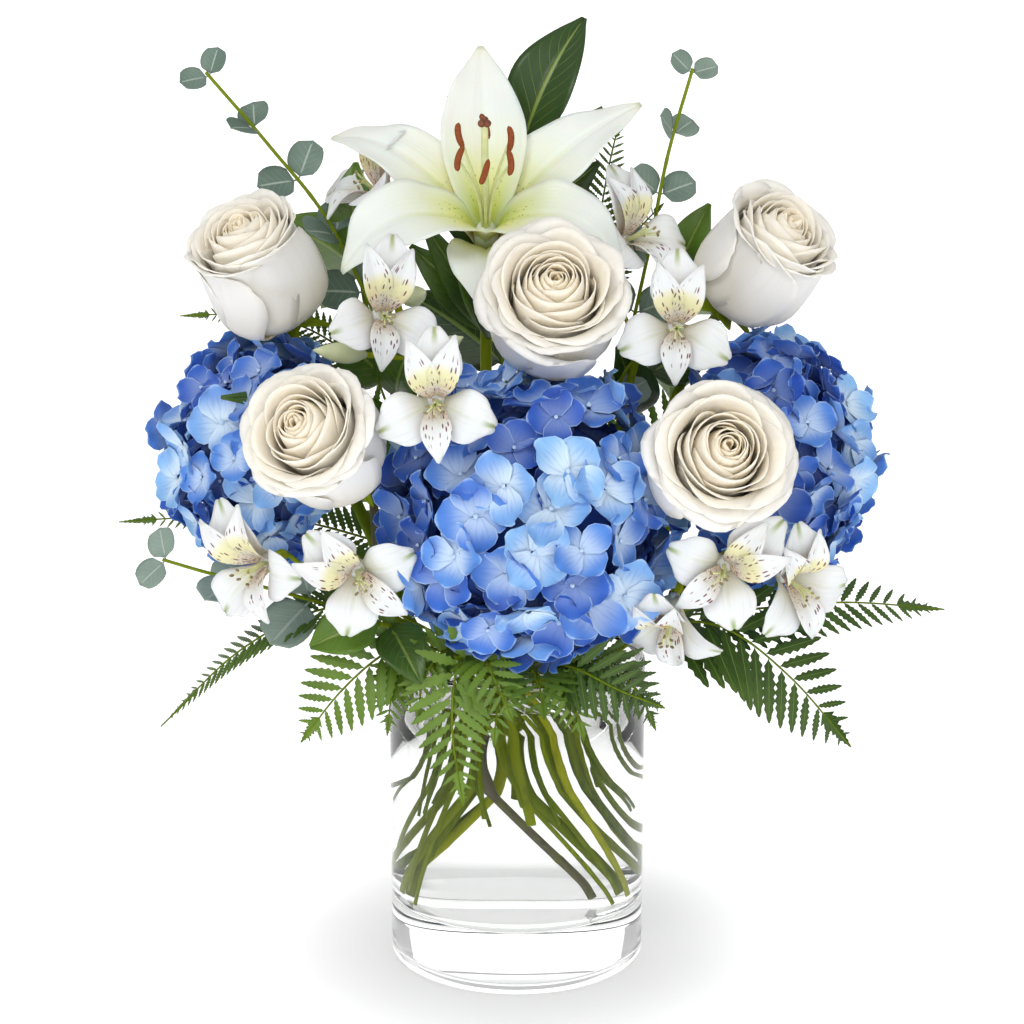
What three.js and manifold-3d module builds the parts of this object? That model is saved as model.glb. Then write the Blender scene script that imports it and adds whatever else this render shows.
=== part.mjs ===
// A florist's bouquet in a clear cylinder vase: three blue hydrangea heads, five white roses, one white
// lily, ten white alstroemeria blooms, eucalyptus, leatherleaf fern and broad green leaves, in water.
// Millimetres, +Z up. The origin is the centre of the vase's foot, and -Y is the front of the bouquet.
import * as THREE from "three";
import { mergeVertices } from "three/addons/utils/BufferGeometryUtils.js";
import Module from "manifold-3d";

const wasm = await Module();
wasm.setup();

// ---------------------------------------------------------------- driving dimensions
const CLEARANCE = 0.4; // air kept between two neighbouring pieces
const VASE = { radius: 63.5, height: 152.4, wall: 4.2, floor: 30, bevel: 2.5, sides: 36 };
const WATER = { top: 138, gap: 0.4, sides: 24 };
const RIM_LEVEL = VASE.height - 4; // each stem is straight from its foot up to here
const WAIST = 17; // how far from the axis the stems pass each other at the rim
const FERN_FOOT = 78; // where the fronds' stalks end in the water
const THIN = 1.9; // stems under this radius have fewer sides and bends
const SEAM = 0.2; // slivers finer than this are smoothed out of cut edges

const HYDRANGEAS = [
  {
    name: "front", at: [6, -52, 233], azimuth: 0, elevation: 14,
    radius: 63, depth: 48, florets: 27, stem: 3.4, foot: 78,
  },
  {
    name: "left", at: [-122, -3, 254], azimuth: -62, elevation: 12,
    radius: 51, depth: 42, florets: 21, stem: 3.2, foot: 36,
  },
  {
    name: "right", at: [121, 2, 251], azimuth: 62, elevation: 12,
    radius: 57, depth: 44, florets: 24, stem: 3.2, foot: 33,
  },
];

const ROSES = [
  {
    name: "upper_left", at: [-120, -17, 342], azimuth: -28, elevation: 52,
    radius: 32, height: 62, turn: 10, foot: 33,
  },
  {
    name: "lower_left", at: [-88, -78, 271], azimuth: -22, elevation: 28,
    radius: 34, height: 58, turn: 40, foot: 36,
  },
  {
    name: "centre", at: [16, -46, 329], azimuth: 3, elevation: 34,
    radius: 38, height: 56, turn: 0, foot: 74,
  },
  {
    name: "upper_right", at: [115, -6, 346], azimuth: 38, elevation: 44,
    radius: 32, height: 62, turn: 25, foot: 34,
  },
  {
    name: "lower_right", at: [88, -83, 264], azimuth: 8, elevation: 24,
    radius: 36, height: 56, turn: 65, foot: 35,
  },
];
// Rings of petals from the heart outwards, in shares of the bloom's radius and height, each petal's
// half-width in degrees, and the shares of its length where it bends
const ROSE_RINGS = [
  {
    petals: 3, root: 0.3, radius: 0.38, low: 0.24, height: 1,
    spread: 60, flare: -0.04, across: 3, along: [0, 1],
  },
  {
    petals: 3, root: 0.46, radius: 0.64, low: 0.24, height: 0.97,
    spread: 64, flare: 0.04, across: 3, along: [0, 1],
  },
  {
    petals: 5, root: 0.6, radius: 0.87, low: 0.24, height: 0.88,
    spread: 45, flare: 0.14, across: 2, along: [0, 0.5, 1],
  },
];

const LILY = { throat: [-15, 2, 367], azimuth: 0, elevation: 46, length: 84, tube: 22, foot: 80 };
// Each tepal: direction round the flower, half-width, how far the tip rolls back, share of the length
const LILY_TEPALS = [
  { angle: 92, width: 16, roll: 20, length: 0.96 },
  { angle: 32, width: 14, roll: 30, length: 1.04, outer: true },
  { angle: -28, width: 15, roll: 105, length: 0.98 },
  { angle: -90, width: 14, roll: 70, length: 0.8, outer: true },
  { angle: -152, width: 15, roll: 95, length: 1 },
  { angle: 150, width: 13, roll: 66, length: 1.04, outer: true },
];

// Blooms of alstroemeria, by the spray that carries them
const SPRAYS = [
  {
    name: "upper_left", umbel: [-58, 4, 326], foot: 34,
    blooms: [
      { at: [-69, 14, 380], azimuth: -55, elevation: 42, roll: 0 },
      { at: [-61, -49, 325], azimuth: 14, elevation: 8, roll: -8 },
    ],
    buds: [{ at: [-43, -22, 333], length: 22 }],
  },
  {
    name: "middle_left", umbel: [-46, -28, 302], foot: 40,
    blooms: [{ at: [-36, -92, 291], azimuth: 0, elevation: 2, roll: 4 }],
    buds: [{ at: [-93, -50, 309], length: 26 }, { at: [-25, -40, 314], length: 24 }],
  },
  {
    name: "upper_right", umbel: [58, -6, 304], foot: 34,
    blooms: [
      { at: [55, -2, 358], azimuth: 38, elevation: 24, roll: 10 },
      { at: [72, -53, 320], azimuth: -4, elevation: 6, roll: -4 },
    ],
    buds: [],
  },
  {
    name: "lower_left", umbel: [-76, -34, 190], foot: 36,
    blooms: [
      { at: [-119, -66, 212], azimuth: -30, elevation: -4, roll: 24 },
      { at: [-72, -82, 211], azimuth: 6, elevation: -8, roll: 52 },
    ],
    buds: [],
  },
  {
    name: "lower_right", umbel: [82, -36, 186], foot: 38,
    blooms: [
      { at: [93, -82, 214], azimuth: -6, elevation: -4, roll: -50 },
      { at: [127, -66, 204], azimuth: 30, elevation: -14, roll: 20 },
      { at: [70, -66, 186], azimuth: -20, elevation: -48, roll: 0 },
    ],
    buds: [],
  },
];
const BLOOM = { length: 30, outerWidth: 11, innerWidth: 6, stalk: 1.3 };

// Sprays of eucalyptus: the way the stem takes above the other flowers, and the leaves' size
const EUCALYPTUS = [
  {
    name: "upper_left", leaf: 23, pairs: 5, foot: 35,
    way: [[-62, 26, 300], [-90, 16, 362], [-118, 8, 400], [-146, 0, 434]],
  },
  {
    name: "upper_right", leaf: 21, pairs: 5, foot: 33,
    way: [[52, 26, 290], [64, 18, 350], [72, 13, 395], [83, 9, 436]],
  },
  {
    name: "lower_left", leaf: 27, pairs: 3, foot: 42,
    way: [[-84, -12, 178], [-118, -28, 192], [-148, -28, 200], [-170, -22, 205]],
  },
  {
    name: "middle_right", leaf: 22, pairs: 3, foot: 48,
    way: [[34, 2, 240], [46, -4, 272], [50, -12, 292], [60, -16, 306]],
  },
];

// Fronds of leatherleaf fern: the way of the rib from the neck of the bouquet to the tip
const FRONDS = [
  {
    name: "right_low", width: 42, rows: 7, face: [0.1, -0.8, 0.5],
    way: [[66, -26, 176], [98, -40, 176], [130, -42, 152], [160, -40, 117]],
  },
  {
    name: "right_out", width: 34, rows: 8, face: [0, -0.6, 0.8],
    way: [[62, 0, 170], [108, -14, 178], [160, -10, 181], [211, 0, 175]],
  },
  {
    name: "left_low", width: 22, rows: 6, face: [-0.2, -0.4, 0.9],
    way: [[-62, -12, 178], [-96, -22, 180], [-136, -18, 158], [-176, -10, 118]],
  },
  {
    name: "left_front", width: 32, rows: 6, face: [-0.2, -0.9, 0.3],
    way: [[-46, -42, 168], [-62, -58, 168], [-82, -66, 152], [-101, -64, 127]],
  },
  {
    name: "front_left", width: 27, rows: 6, face: [0, -1, 0.1],
    way: [[-20, -50, 164], [-28, -70, 163], [-30, -74, 135], [-25, -72, 98]],
  },
  {
    name: "front_right", width: 26, rows: 6, face: [0.1, -0.95, 0.2],
    way: [[16, -52, 162], [28, -70, 164], [46, -76, 156], [68, -72, 146]],
  },
  {
    name: "upper_right", width: 17, rows: 6, face: [0.2, -1, 0.1],
    way: [[34, 28, 330], [40, 32, 362], [45, 34, 390], [51, 35, 416]],
  },
  {
    name: "left_high", width: 15, rows: 6, face: [0, -0.9, 0.4],
    way: [[-70, 14, 292], [-104, 22, 312], [-136, 24, 318], [-165, 20, 318]],
  },
  {
    name: "left_middle", width: 20, rows: 7, face: [0, -0.7, 0.7],
    way: [[-60, 30, 200], [-112, 38, 212], [-160, 32, 215], [-200, 25, 214]],
  },
  {
    name: "front_centre", width: 30, rows: 6, face: [0, -0.4, 1],
    way: [[6, -36, 157], [8, -56, 160], [10, -76, 158], [12, -97, 148]],
  },
  {
    name: "back_centre", width: 44, rows: 6, face: [0, 0.7, 0.7],
    way: [[2, 46, 180], [6, 74, 206], [8, 102, 210], [8, 126, 190]],
  },
  {
    name: "back_low_left", width: 38, rows: 6, face: [-0.4, 0.6, 0.7],
    way: [[-44, 26, 166], [-72, 50, 184], [-96, 66, 180], [-118, 76, 158]],
  },
  {
    name: "back_low_right", width: 38, rows: 6, face: [0.4, 0.6, 0.7],
    way: [[46, 26, 166], [74, 52, 182], [98, 68, 176], [118, 78, 152]],
  },
  {
    name: "back_left", width: 42, rows: 6, face: [-0.4, 0.8, 0.5],
    way: [[-34, 50, 200], [-60, 78, 236], [-82, 98, 262], [-104, 106, 274]],
  },
  {
    name: "back_right", width: 42, rows: 6, face: [0.4, 0.8, 0.5],
    way: [[40, 50, 200], [66, 78, 234], [88, 94, 258], [108, 100, 268]],
  },
];

// Stems of broad leaves: each leaf by where it leaves the stem, its tip, its half-width and its face
const LEAFY_STEMS = [
  {
    name: "top", way: [[-2, 42, 300], [0, 40, 360], [2, 38, 398]], foot: 84,
    leaves: [
      { from: 1, tip: [33, 46, 461], width: 17, face: [-0.4, -1, 0.3], bow: 8 },
      { from: 0.93, tip: [-34, 44, 424], width: 8, face: [0.3, -1, 0], bow: 6 },
      { from: 0.84, tip: [42, 44, 418], width: 11, face: [0.5, -1, -0.1], bow: 8 },
      { from: 0.7, tip: [-38, 72, 392], width: 17, face: [-0.3, 1, 0.3], bow: 8 },
      { from: 0.62, tip: [36, 84, 382], width: 17, face: [0.3, 1, 0.3], bow: 8 },
    ],
  },
  {
    name: "left", way: [[-56, 20, 268], [-72, 24, 312], [-78, 28, 346]], foot: 36,
    leaves: [
      { from: 1, tip: [-78, 26, 392], width: 12, face: [-0.3, -1, 0.2], bow: 6 },
      { from: 0.86, tip: [-122, 52, 362], width: 16, face: [-0.4, 0.8, 0.5], bow: 8 },
      { from: 0.5, tip: [-100, 66, 318], width: 17, face: [-0.4, 0.9, 0.4], bow: 8 },
      { from: 0.3, tip: [-78, 72, 276], width: 17, face: [-0.4, 0.9, 0.3], bow: 8 },
    ],
  },
  {
    name: "right", way: [[56, 24, 262], [72, 30, 306], [80, 34, 340]], foot: 38,
    leaves: [
      { from: 1, tip: [94, 26, 372], width: 9, face: [0.2, -0.6, 0.8], bow: 4 },
      { from: 0.86, tip: [126, 52, 350], width: 16, face: [0.4, 0.8, 0.5], bow: 8 },
      { from: 0.55, tip: [104, 70, 314], width: 17, face: [0.4, 0.9, 0.4], bow: 8 },
      { from: 0.3, tip: [80, 74, 270], width: 17, face: [0.4, 0.9, 0.3], bow: 8 },
    ],
  },
  {
    name: "low_left", way: [[-44, -38, 172], [-56, -48, 178], [-64, -56, 182]], foot: 40,
    leaves: [
      { from: 1, tip: [-96, -62, 172], width: 13, face: [-0.1, -0.8, 0.6], bow: 5 },
      { from: 0.7, tip: [-44, -80, 160], width: 11, face: [0.1, -1, 0.3], bow: 4 },
    ],
  },
  {
    name: "back", way: [[-4, 58, 240], [-6, 76, 276], [-8, 84, 304]], foot: 92,
    leaves: [
      { from: 1, tip: [-8, 96, 352], width: 18, face: [0, 1, 0.4], bow: 7 },
      { from: 0.8, tip: [44, 106, 318], width: 18, face: [0.3, 1, 0.4], bow: 8 },
      { from: 0.7, tip: [-58, 104, 322], width: 18, face: [-0.3, 1, 0.4], bow: 8 },
      { from: 0.4, tip: [38, 118, 268], width: 17, face: [0.2, 0.9, 0.5], bow: 8 },
      { from: 0.3, tip: [-40, 116, 264], width: 17, face: [-0.2, 0.9, 0.5], bow: 8 },
    ],
  },
];

const COLOURS = {
  glass: { color: "#eef4f4", roughness: 0.03, metalness: 0, transparent: true, opacity: 0.3 },
  water: { color: "#e8f2f2", roughness: 0.02, metalness: 0, transparent: true, opacity: 0.3 },
  blue: { color: "#5f8fe0", roughness: 0.6, metalness: 0 },
  white: { color: "#f6f1e6", roughness: 0.55, metalness: 0 },
  lily: { color: "#f7f6ee", roughness: 0.5, metalness: 0 },
  stamen: { color: "#a9b75a", roughness: 0.6, metalness: 0 },
  alstroemeria: { color: "#f5f3f4", roughness: 0.5, metalness: 0 },
  stem: { color: "#5f8230", roughness: 0.55, metalness: 0 },
  eucalyptus: { color: "#7f968a", roughness: 0.65, metalness: 0 },
  fern: { color: "#3f6a24", roughness: 0.5, metalness: 0 },
  leaf: { color: "#4c7426", roughness: 0.4, metalness: 0 },
};

// ---------------------------------------------------------------- small helpers
const rad = (degrees) => (degrees * Math.PI) / 180;
const vec = (p) => new THREE.Vector3(...p);
const clamp01 = (t) => Math.min(1, Math.max(0, t));
const smooth = (t) => clamp01(t) ** 2 * (3 - 2 * clamp01(t));
const range = (count) => Array.from({ length: count }, (_, i) => i);

const spaced = (from, to, steps) => range(steps + 1).map((i) => from + ((to - from) * i) / steps);

// A repeatable random number in -1..1 for each pair of whole numbers
function jitter(seed, salt) {
  const x = Math.sin(seed * 127.1 + salt * 311.7) * 43758.5453;
  return 2 * (x - Math.floor(x)) - 1;
}

// The direction of a bloom: azimuth 0 faces the front, 90 the right, and elevation is above level
function heading(azimuth, elevation) {
  const a = rad(azimuth);
  const e = rad(elevation);
  return new THREE.Vector3(Math.sin(a) * Math.cos(e), -Math.cos(a) * Math.cos(e), Math.sin(e));
}

// A point beside a spoke: `out` along the spoke at this angle, `aside` across it, and `high` up the axis
function spokePoint(angle, out, aside, high) {
  const [cos, sin] = [Math.cos(angle), Math.sin(angle)];
  return new THREE.Vector3(out * cos - aside * sin, out * sin + aside * cos, high);
}

// A frame whose Z is the bloom's axis, and whose Y points as far up as it can
function frameAt(at, azimuth, elevation, roll = 0) {
  const axis = heading(azimuth, elevation);
  const up = new THREE.Vector3(0, 0, 1).addScaledVector(axis, -axis.z).normalize();
  const side = new THREE.Vector3().crossVectors(up, axis);
  return new THREE.Matrix4()
    .makeBasis(side, up, axis)
    .setPosition(vec(at))
    .multiply(new THREE.Matrix4().makeRotationZ(rad(roll)));
}

// ---------------------------------------------------------------- solids
// A closed solid from points and triangles, turned inside out if its faces point inwards
function closed(points, triangles) {
  const vertProperties = new Float32Array(points.flatMap((p) => [p.x, p.y, p.z]));
  const build = (list) => {
    const triVerts = new Uint32Array(list.flat());
    return new wasm.Manifold(new wasm.Mesh({ numProp: 3, vertProperties, triVerts }));
  };
  const solid = build(triangles);
  return solid.volume() >= 0 ? solid : build(triangles.map(([a, b, c]) => [a, c, b]));
}

function fromGeometry(geometry) {
  geometry.deleteAttribute("normal");
  geometry.deleteAttribute("uv");
  const merged = mergeVertices(geometry, 1e-4);
  const position = merged.getAttribute("position");
  const points = range(position.count).map((i) => new THREE.Vector3().fromBufferAttribute(position, i));
  const index = Array.from(merged.index.array);
  return closed(points, range(index.length / 3).map((t) => index.slice(3 * t, 3 * t + 3)));
}

const join = (solids) => wasm.Manifold.union(solids);

// A thin blade over a grid: surface(u, v) is its middle, and `grow` fattens it all round.
// Both faces share one diagonal.
function blade(surface, us, vs, thick, grow = 0) {
  const grid = us.map((u) => vs.map((v) => surface(u, v)));
  const lastU = us.length - 1;
  const lastV = vs.length - 1;
  const point = (i, j) => grid[Math.min(lastU, Math.max(0, i))][Math.min(lastV, Math.max(0, j))];
  const spread = grid.map((column, i) =>
    column.map((p, j) => {
      const moved = p.clone();
      const push = (from) => {
        moved.addScaledVector(new THREE.Vector3().subVectors(p, from).normalize(), grow);
      };
      if (grow && i === 0) push(point(1, j));
      if (grow && i === lastU) push(point(lastU - 1, j));
      if (grow && j === 0) push(point(i, 1));
      if (grow && j === lastV) push(point(i, lastV - 1));
      return moved;
    }),
  );
  const normal = (i, j) =>
    new THREE.Vector3()
      .subVectors(point(i + 1, j), point(i - 1, j))
      .cross(new THREE.Vector3().subVectors(point(i, j + 1), point(i, j - 1)))
      .normalize();
  const half = thick / 2 + grow;
  const points = [half, -half].flatMap((h) =>
    spread.flatMap((column, i) => column.map((p, j) => p.clone().addScaledVector(normal(i, j), h))),
  );
  const under = us.length * vs.length;
  const id = (i, j) => i * vs.length + j;
  const triangles = [];
  for (const i of range(lastU)) {
    for (const j of range(lastV)) {
      const [a, b, c, d] = [id(i, j), id(i + 1, j), id(i + 1, j + 1), id(i, j + 1)];
      triangles.push([a, b, c], [a, c, d]);
      triangles.push([a + under, c + under, b + under], [a + under, d + under, c + under]);
    }
  }
  const wall = (a, b) => triangles.push([b, a, a + under], [b, a + under, b + under]);
  for (const i of range(lastU)) {
    wall(id(i, 0), id(i + 1, 0));
    wall(id(i + 1, lastV), id(i, lastV));
  }
  for (const j of range(lastV)) {
    wall(id(0, j + 1), id(0, j));
    wall(id(lastU, j), id(lastU, j + 1));
  }
  return closed(points, triangles);
}

// A thin plate with a cut outline of [along, aside] pairs, bent by map(along, aside) = { point, normal }
function plate(outline, map, thick, grow = 0, given = null) {
  const flat = outline.map(([s, b]) => new THREE.Vector2(s, b));
  const faces = given ?? THREE.ShapeUtils.triangulateShape(flat, []);
  const count = outline.length;
  const grown = grow ? outline.map(([s, b], i) => growPoint(outline, i, grow)) : outline;
  const placed = grown.map(([s, b]) => map(s, b));
  const half = thick / 2 + grow;
  const points = [half, -half].flatMap((h) =>
    placed.map(({ point, normal }) => point.clone().addScaledVector(normal, h)),
  );
  const triangles = faces.flatMap(([a, b, c]) => [[a, b, c], [a + count, c + count, b + count]]);
  const turned = THREE.ShapeUtils.area(flat) < 0;
  for (const i of range(count)) {
    const [a, b] = turned ? [(i + 1) % count, i] : [i, (i + 1) % count];
    triangles.push([b, a, a + count], [b, a + count, b + count]);
  }
  return closed(points, triangles);
}

// A point of an outline moved outwards, away from its two neighbours' middle line
function growPoint(outline, i, grow) {
  const count = outline.length;
  const turn = Math.sign(THREE.ShapeUtils.area(outline.map(([s, b]) => new THREE.Vector2(s, b))));
  const [before, after] = [outline[(i + count - 1) % count], outline[(i + 1) % count]];
  const [ds, db] = [after[0] - before[0], after[1] - before[1]];
  const length = Math.hypot(ds, db) || 1;
  return [outline[i][0] + (turn * db * grow) / length, outline[i][1] - (turn * ds * grow) / length];
}

// A line of straight stretches, whose steps are its own points
class Polyline extends THREE.Curve {
  constructor(points) {
    super();
    this.points = points;
  }

  getPoint(t) {
    const place = t * (this.points.length - 1);
    const i = Math.min(Math.floor(place + 1e-6), this.points.length - 2);
    return this.points[i].clone().lerp(this.points[i + 1], place - i);
  }

  getPointAt(t) {
    return this.getPoint(t);
  }

  getTangentAt(t) {
    return this.getTangent(t);
  }
}

// A round stem through a list of points
function tube(points, radius, sides, grow = 0) {
  const reach = points.map((p) => p.clone());
  const last = reach.length - 1;
  const outwards = (end, next) => new THREE.Vector3().subVectors(reach[end], reach[next]).normalize();
  reach[0].addScaledVector(outwards(0, 1), grow);
  reach[last].addScaledVector(outwards(last, last - 1), grow);
  const outer = radius + grow / Math.cos(Math.PI / sides);
  const corner = (angle) => new THREE.Vector2(outer * Math.cos(angle), outer * Math.sin(angle));
  const section = new THREE.Shape(range(sides).map((i) => corner((2 * Math.PI * i) / sides)));
  const options = { steps: last, bevelEnabled: false, extrudePath: new Polyline(reach), curveSegments: 1 };
  return fromGeometry(new THREE.ExtrudeGeometry(section, options));
}

function ball(centre, radius, sides, rings, grow = 0) {
  const geometry = new THREE.SphereGeometry(1, sides, rings).rotateX(Math.PI / 2);
  geometry.scale(radius[0] + grow, radius[1] + grow, radius[2] + grow);
  geometry.translate(...centre);
  return fromGeometry(geometry);
}

// A turned solid, from a profile of [radius, height] pairs that starts and ends on the axis
function turned(profile, sides) {
  const points = profile.map(([r, z]) => new THREE.Vector2(r, z));
  return fromGeometry(new THREE.LatheGeometry(points, sides).rotateX(Math.PI / 2));
}

// ---------------------------------------------------------------- vase and water
function vaseSolid(grow = 0) {
  const { radius, height, wall, floor, bevel, sides } = VASE;
  const outer = radius + grow;
  const inner = radius - wall - grow;
  const foot = [[0, -grow], [outer - bevel, -grow], [outer, bevel]];
  const inside = [[outer, height + grow], [inner, height + grow], [inner, floor + grow], [0, floor + grow]];
  return turned([...foot, ...inside], sides);
}

function waterSolid() {
  const radius = VASE.radius - VASE.wall - WATER.gap;
  const low = VASE.floor + WATER.gap;
  return turned([[0, low], [radius, low], [radius, WATER.top], [0, WATER.top]], WATER.sides);
}

// ---------------------------------------------------------------- hydrangea
// Directions spread evenly over a head, leaving out the cone where the stem comes in
function floretDirections(count, bare) {
  const golden = Math.PI * (3 - Math.sqrt(5));
  const lowest = -Math.cos(rad(bare));
  return range(count).map((i) => {
    const z = 1 - ((i + 0.5) / count) * (1 - lowest);
    const ring = Math.sqrt(1 - z * z);
    return new THREE.Vector3(ring * Math.cos(golden * i), ring * Math.sin(golden * i), z);
  });
}

// One floret: four broad sepals round a hollow centre, on a funnel sunk into the head
function floret(centre, axis, turn, size, depth) {
  const side = new THREE.Vector3(0.31, 0.52, 0.8).cross(axis).normalize();
  const up = new THREE.Vector3().crossVectors(axis, side);
  const place = (r, angle, h) =>
    centre
      .clone()
      .addScaledVector(side, r * Math.cos(angle))
      .addScaledVector(up, r * Math.sin(angle))
      .addScaledVector(axis, h);
  const rim = range(8).map((i) => (i % 2 ? [0.62 * size, -0.05 * size] : [size, 0.03 * size]));
  const points = [
    place(0, 0, -0.14 * size),
    ...rim.map(([r, h], i) => place(r, rad(45 * i) + turn, h)),
    ...range(4).map((k) => place(0.17 * size, rad(90 * k + 45) + turn, -depth)),
  ];
  const [first, root] = [1, 9];
  const triangles = [[root, root + 3, root + 2], [root, root + 2, root + 1]];
  for (const k of range(4)) {
    const [before, tip, notch] = [(2 * k + 7) % 8, 2 * k, 2 * k + 1].map((i) => first + i);
    const [rootBefore, rootHere] = [root + ((k + 3) % 4), root + k];
    triangles.push([0, before, tip], [0, tip, notch]);
    triangles.push([before, rootBefore, tip], [tip, rootBefore, rootHere], [tip, rootHere, notch]);
  }
  return closed(points, triangles);
}

// The half axes of a head: round from the front, and flatter towards its stem
const headReach = ({ radius, depth }, z) => new THREE.Vector3(radius, radius, z < 0 ? 0.5 * depth : depth);

function hydrangeaHead(head) {
  const { name, at, azimuth, elevation, radius, depth, florets } = head;
  const frame = frameAt(at, azimuth, elevation);
  const size = 0.2 * radius + 3.2;
  const solids = [];
  floretDirections(florets, 46).forEach((direction, i) => {
    const reach = headReach(head, direction.z);
    const spot = direction.clone().multiply(reach).multiplyScalar(0.97 + 0.03 * jitter(i, 1));
    const world = spot.clone().applyMatrix4(frame);
    const inOther = (bloom) => bloom.owner !== "hydrangea_" + name && shareOut(bloom, world, 0) < 0.9;
    if (blooms.some(inOther)) return;
    const axis = direction.clone().divide(reach).normalize();
    axis.add(new THREE.Vector3(jitter(i, 2), jitter(i, 3), jitter(i, 4)).multiplyScalar(0.14)).normalize();
    solids.push(floret(spot, axis, jitter(i, 5) * Math.PI, size, 0.3 * radius));
  });
  solids.push(ball([0, 0, 0.1 * depth], [0.8 * radius, 0.8 * radius, 0.68 * depth], 9, 6));
  return join(solids).transform(frame.elements);
}

// How far behind a head's middle its stem ends
const headBack = ({ depth }) => 0.58 * depth + CLEARANCE;

// The smooth room that a whole head takes up
function hydrangeaRoom(head) {
  const { at, azimuth, elevation, radius, depth } = head;
  const back = -headBack(head) + 0.1;
  const shares = [[0.56, -0.58], [0.86, -0.42], [1.07, -0.14], [1.11, 0.2], [0.88, 0.76], [0.48, 1.04]];
  const side = shares.map(([r, z]) => [r * radius, z * depth]);
  const room = turned([[0, back], [0.3 * radius, back], ...side, [0, 1.1 * depth]], 12);
  return room.transform(frameAt(at, azimuth, elevation).elements);
}

// ---------------------------------------------------------------- rose
function rosePetal({ radius, height }, ring, k, turn) {
  const middle = rad(turn + (360 * k) / ring.petals);
  return (u, v) => {
    const rise = ring.low + (ring.height - ring.low) * v * (1 - 0.14 * u * u * v);
    const bowl = Math.sin((Math.min(v / 0.6, 1) * Math.PI) / 2);
    const share = ring.root + (ring.radius - ring.root) * bowl + ring.flare * smooth((v - 0.6) / 0.4);
    const r = share * (1 + 0.11 * u) * radius;
    const angle = middle + u * rad(ring.spread) * (1 - 0.25 * v * v);
    return new THREE.Vector3(r * Math.cos(angle), r * Math.sin(angle), rise * height);
  };
}

const roseBase = ({ at, azimuth, elevation, height }) =>
  vec(at).addScaledVector(heading(azimuth, elevation), -height / 2);
const roseFrame = (rose) => frameAt(roseBase(rose).toArray(), rose.azimuth, rose.elevation);

function roseBloom(rose) {
  const { radius, height, turn } = rose;
  const petals = ROSE_RINGS.flatMap((ring, n) =>
    range(ring.petals).map((k) => {
      const petal = rosePetal(rose, ring, k, turn + 35 * n);
      return blade(petal, spaced(-1, 1, ring.across), ring.along, 1.1);
    }),
  );
  const lathe = (profile, sides) => turned(profile.map(([r, z]) => [r * radius, z * height]), sides);
  const heart = lathe([[0, 0.2], [0.2, 0.24], [0.2, 0.84], [0, 0.95]], 5);
  const cup = lathe([[0, 0], [0.36, 0], [0.76, 0.18], [0.78, 0.31], [0, 0.31]], 10);
  return join([...petals, heart, cup]).transform(roseFrame(rose).elements);
}

// The smooth room that a whole bloom takes up
function roseRoom(rose) {
  const { radius, height } = rose;
  const shares = [[0.4, 0], [0.84, 0.18], [1.13, 0.5], [1.2, 0.86], [0.8, 1]];
  const side = shares.map(([r, z]) => [r * radius + CLEARANCE, z * (height + CLEARANCE) - CLEARANCE]);
  return turned([[0, -CLEARANCE], ...side, [0, 1.04 * height]], 9).transform(roseFrame(rose).elements);
}

// The green part of a rose: its stem, the swelling under the bloom and five sepals
function roseStem(rose, stem, grow = 0) {
  const [low, top] = [-9 - grow, grow - CLEARANCE];
  const hip = turned([[0, low], [3 + grow, low], [6 + grow, -4], [7 + grow, top], [0, top]], 5);
  const sepals = range(5).map((k) => {
    const angle = rad(72 * k + 20);
    const lift = k % 2 ? 4 : -6;
    const sepal = (u, v) => {
      const r = 4.5 + 0.42 * rose.radius * v;
      const aside = u * (4.6 * (1 - v) ** 0.7 + 0.5);
      return spokePoint(angle, r, aside, lift * v - 2.6);
    };
    return blade(sepal, [-1, 1], [0, 1], 0.9, grow);
  });
  return join([join([hip, ...sepals]).transform(roseFrame(rose).elements), stemTube(stem, grow)]);
}

// ---------------------------------------------------------------- lily
const lilyRoot = () => vec(LILY.throat).addScaledVector(heading(LILY.azimuth, LILY.elevation), -LILY.tube);
const lilyFrame = () => frameAt(lilyRoot().toArray(), LILY.azimuth, LILY.elevation);

// A tepal starts nearly along the axis, opens outwards, and rolls back at its tip. Three lie behind.
function lilyTepal({ angle, width, roll, length, outer }) {
  const steps = 24;
  const reach = LILY.length * length + LILY.tube;
  const path = [outer ? [4.4, -5, 0] : [2.6, 0, 0]];
  for (const i of range(steps)) {
    const t = (i + 0.5) / steps;
    const lean = rad(6 + 52 * smooth(t / 0.42) + roll * smooth((t - 0.4) / 0.62));
    const [r, z] = path[i];
    path.push([r + (reach / steps) * Math.sin(lean), z + (reach / steps) * Math.cos(lean), lean]);
  }
  const around = rad(angle);
  return (u, v) => {
    const [r, z, lean] = path[Math.round(v * steps)];
    const wide = width * Math.sin(Math.PI * Math.min(0.97, 0.02 + 0.94 * v)) ** 1.2 + 0.4;
    const lift = (0.5 - 0.4 * v) * wide * u * u;
    return spokePoint(around, r - lift * Math.cos(lean), wide * u, z + lift * Math.sin(lean));
  };
}

function lilyTepals(grow = 0) {
  const along = [0.08, 0.33, 0.54, 0.75, 1];
  const tepals = LILY_TEPALS.map((tepal) => blade(lilyTepal(tepal), [-1, 0, 1], along, 1.2, grow));
  const profile = [[0, -grow], [4.4 + grow, -grow], [7.4 + grow, 12], [5, 16 + grow], [0, 16 + grow]];
  const tube = turned(profile, 6);
  return join([...tepals, tube]).transform(lilyFrame().elements);
}

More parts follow.
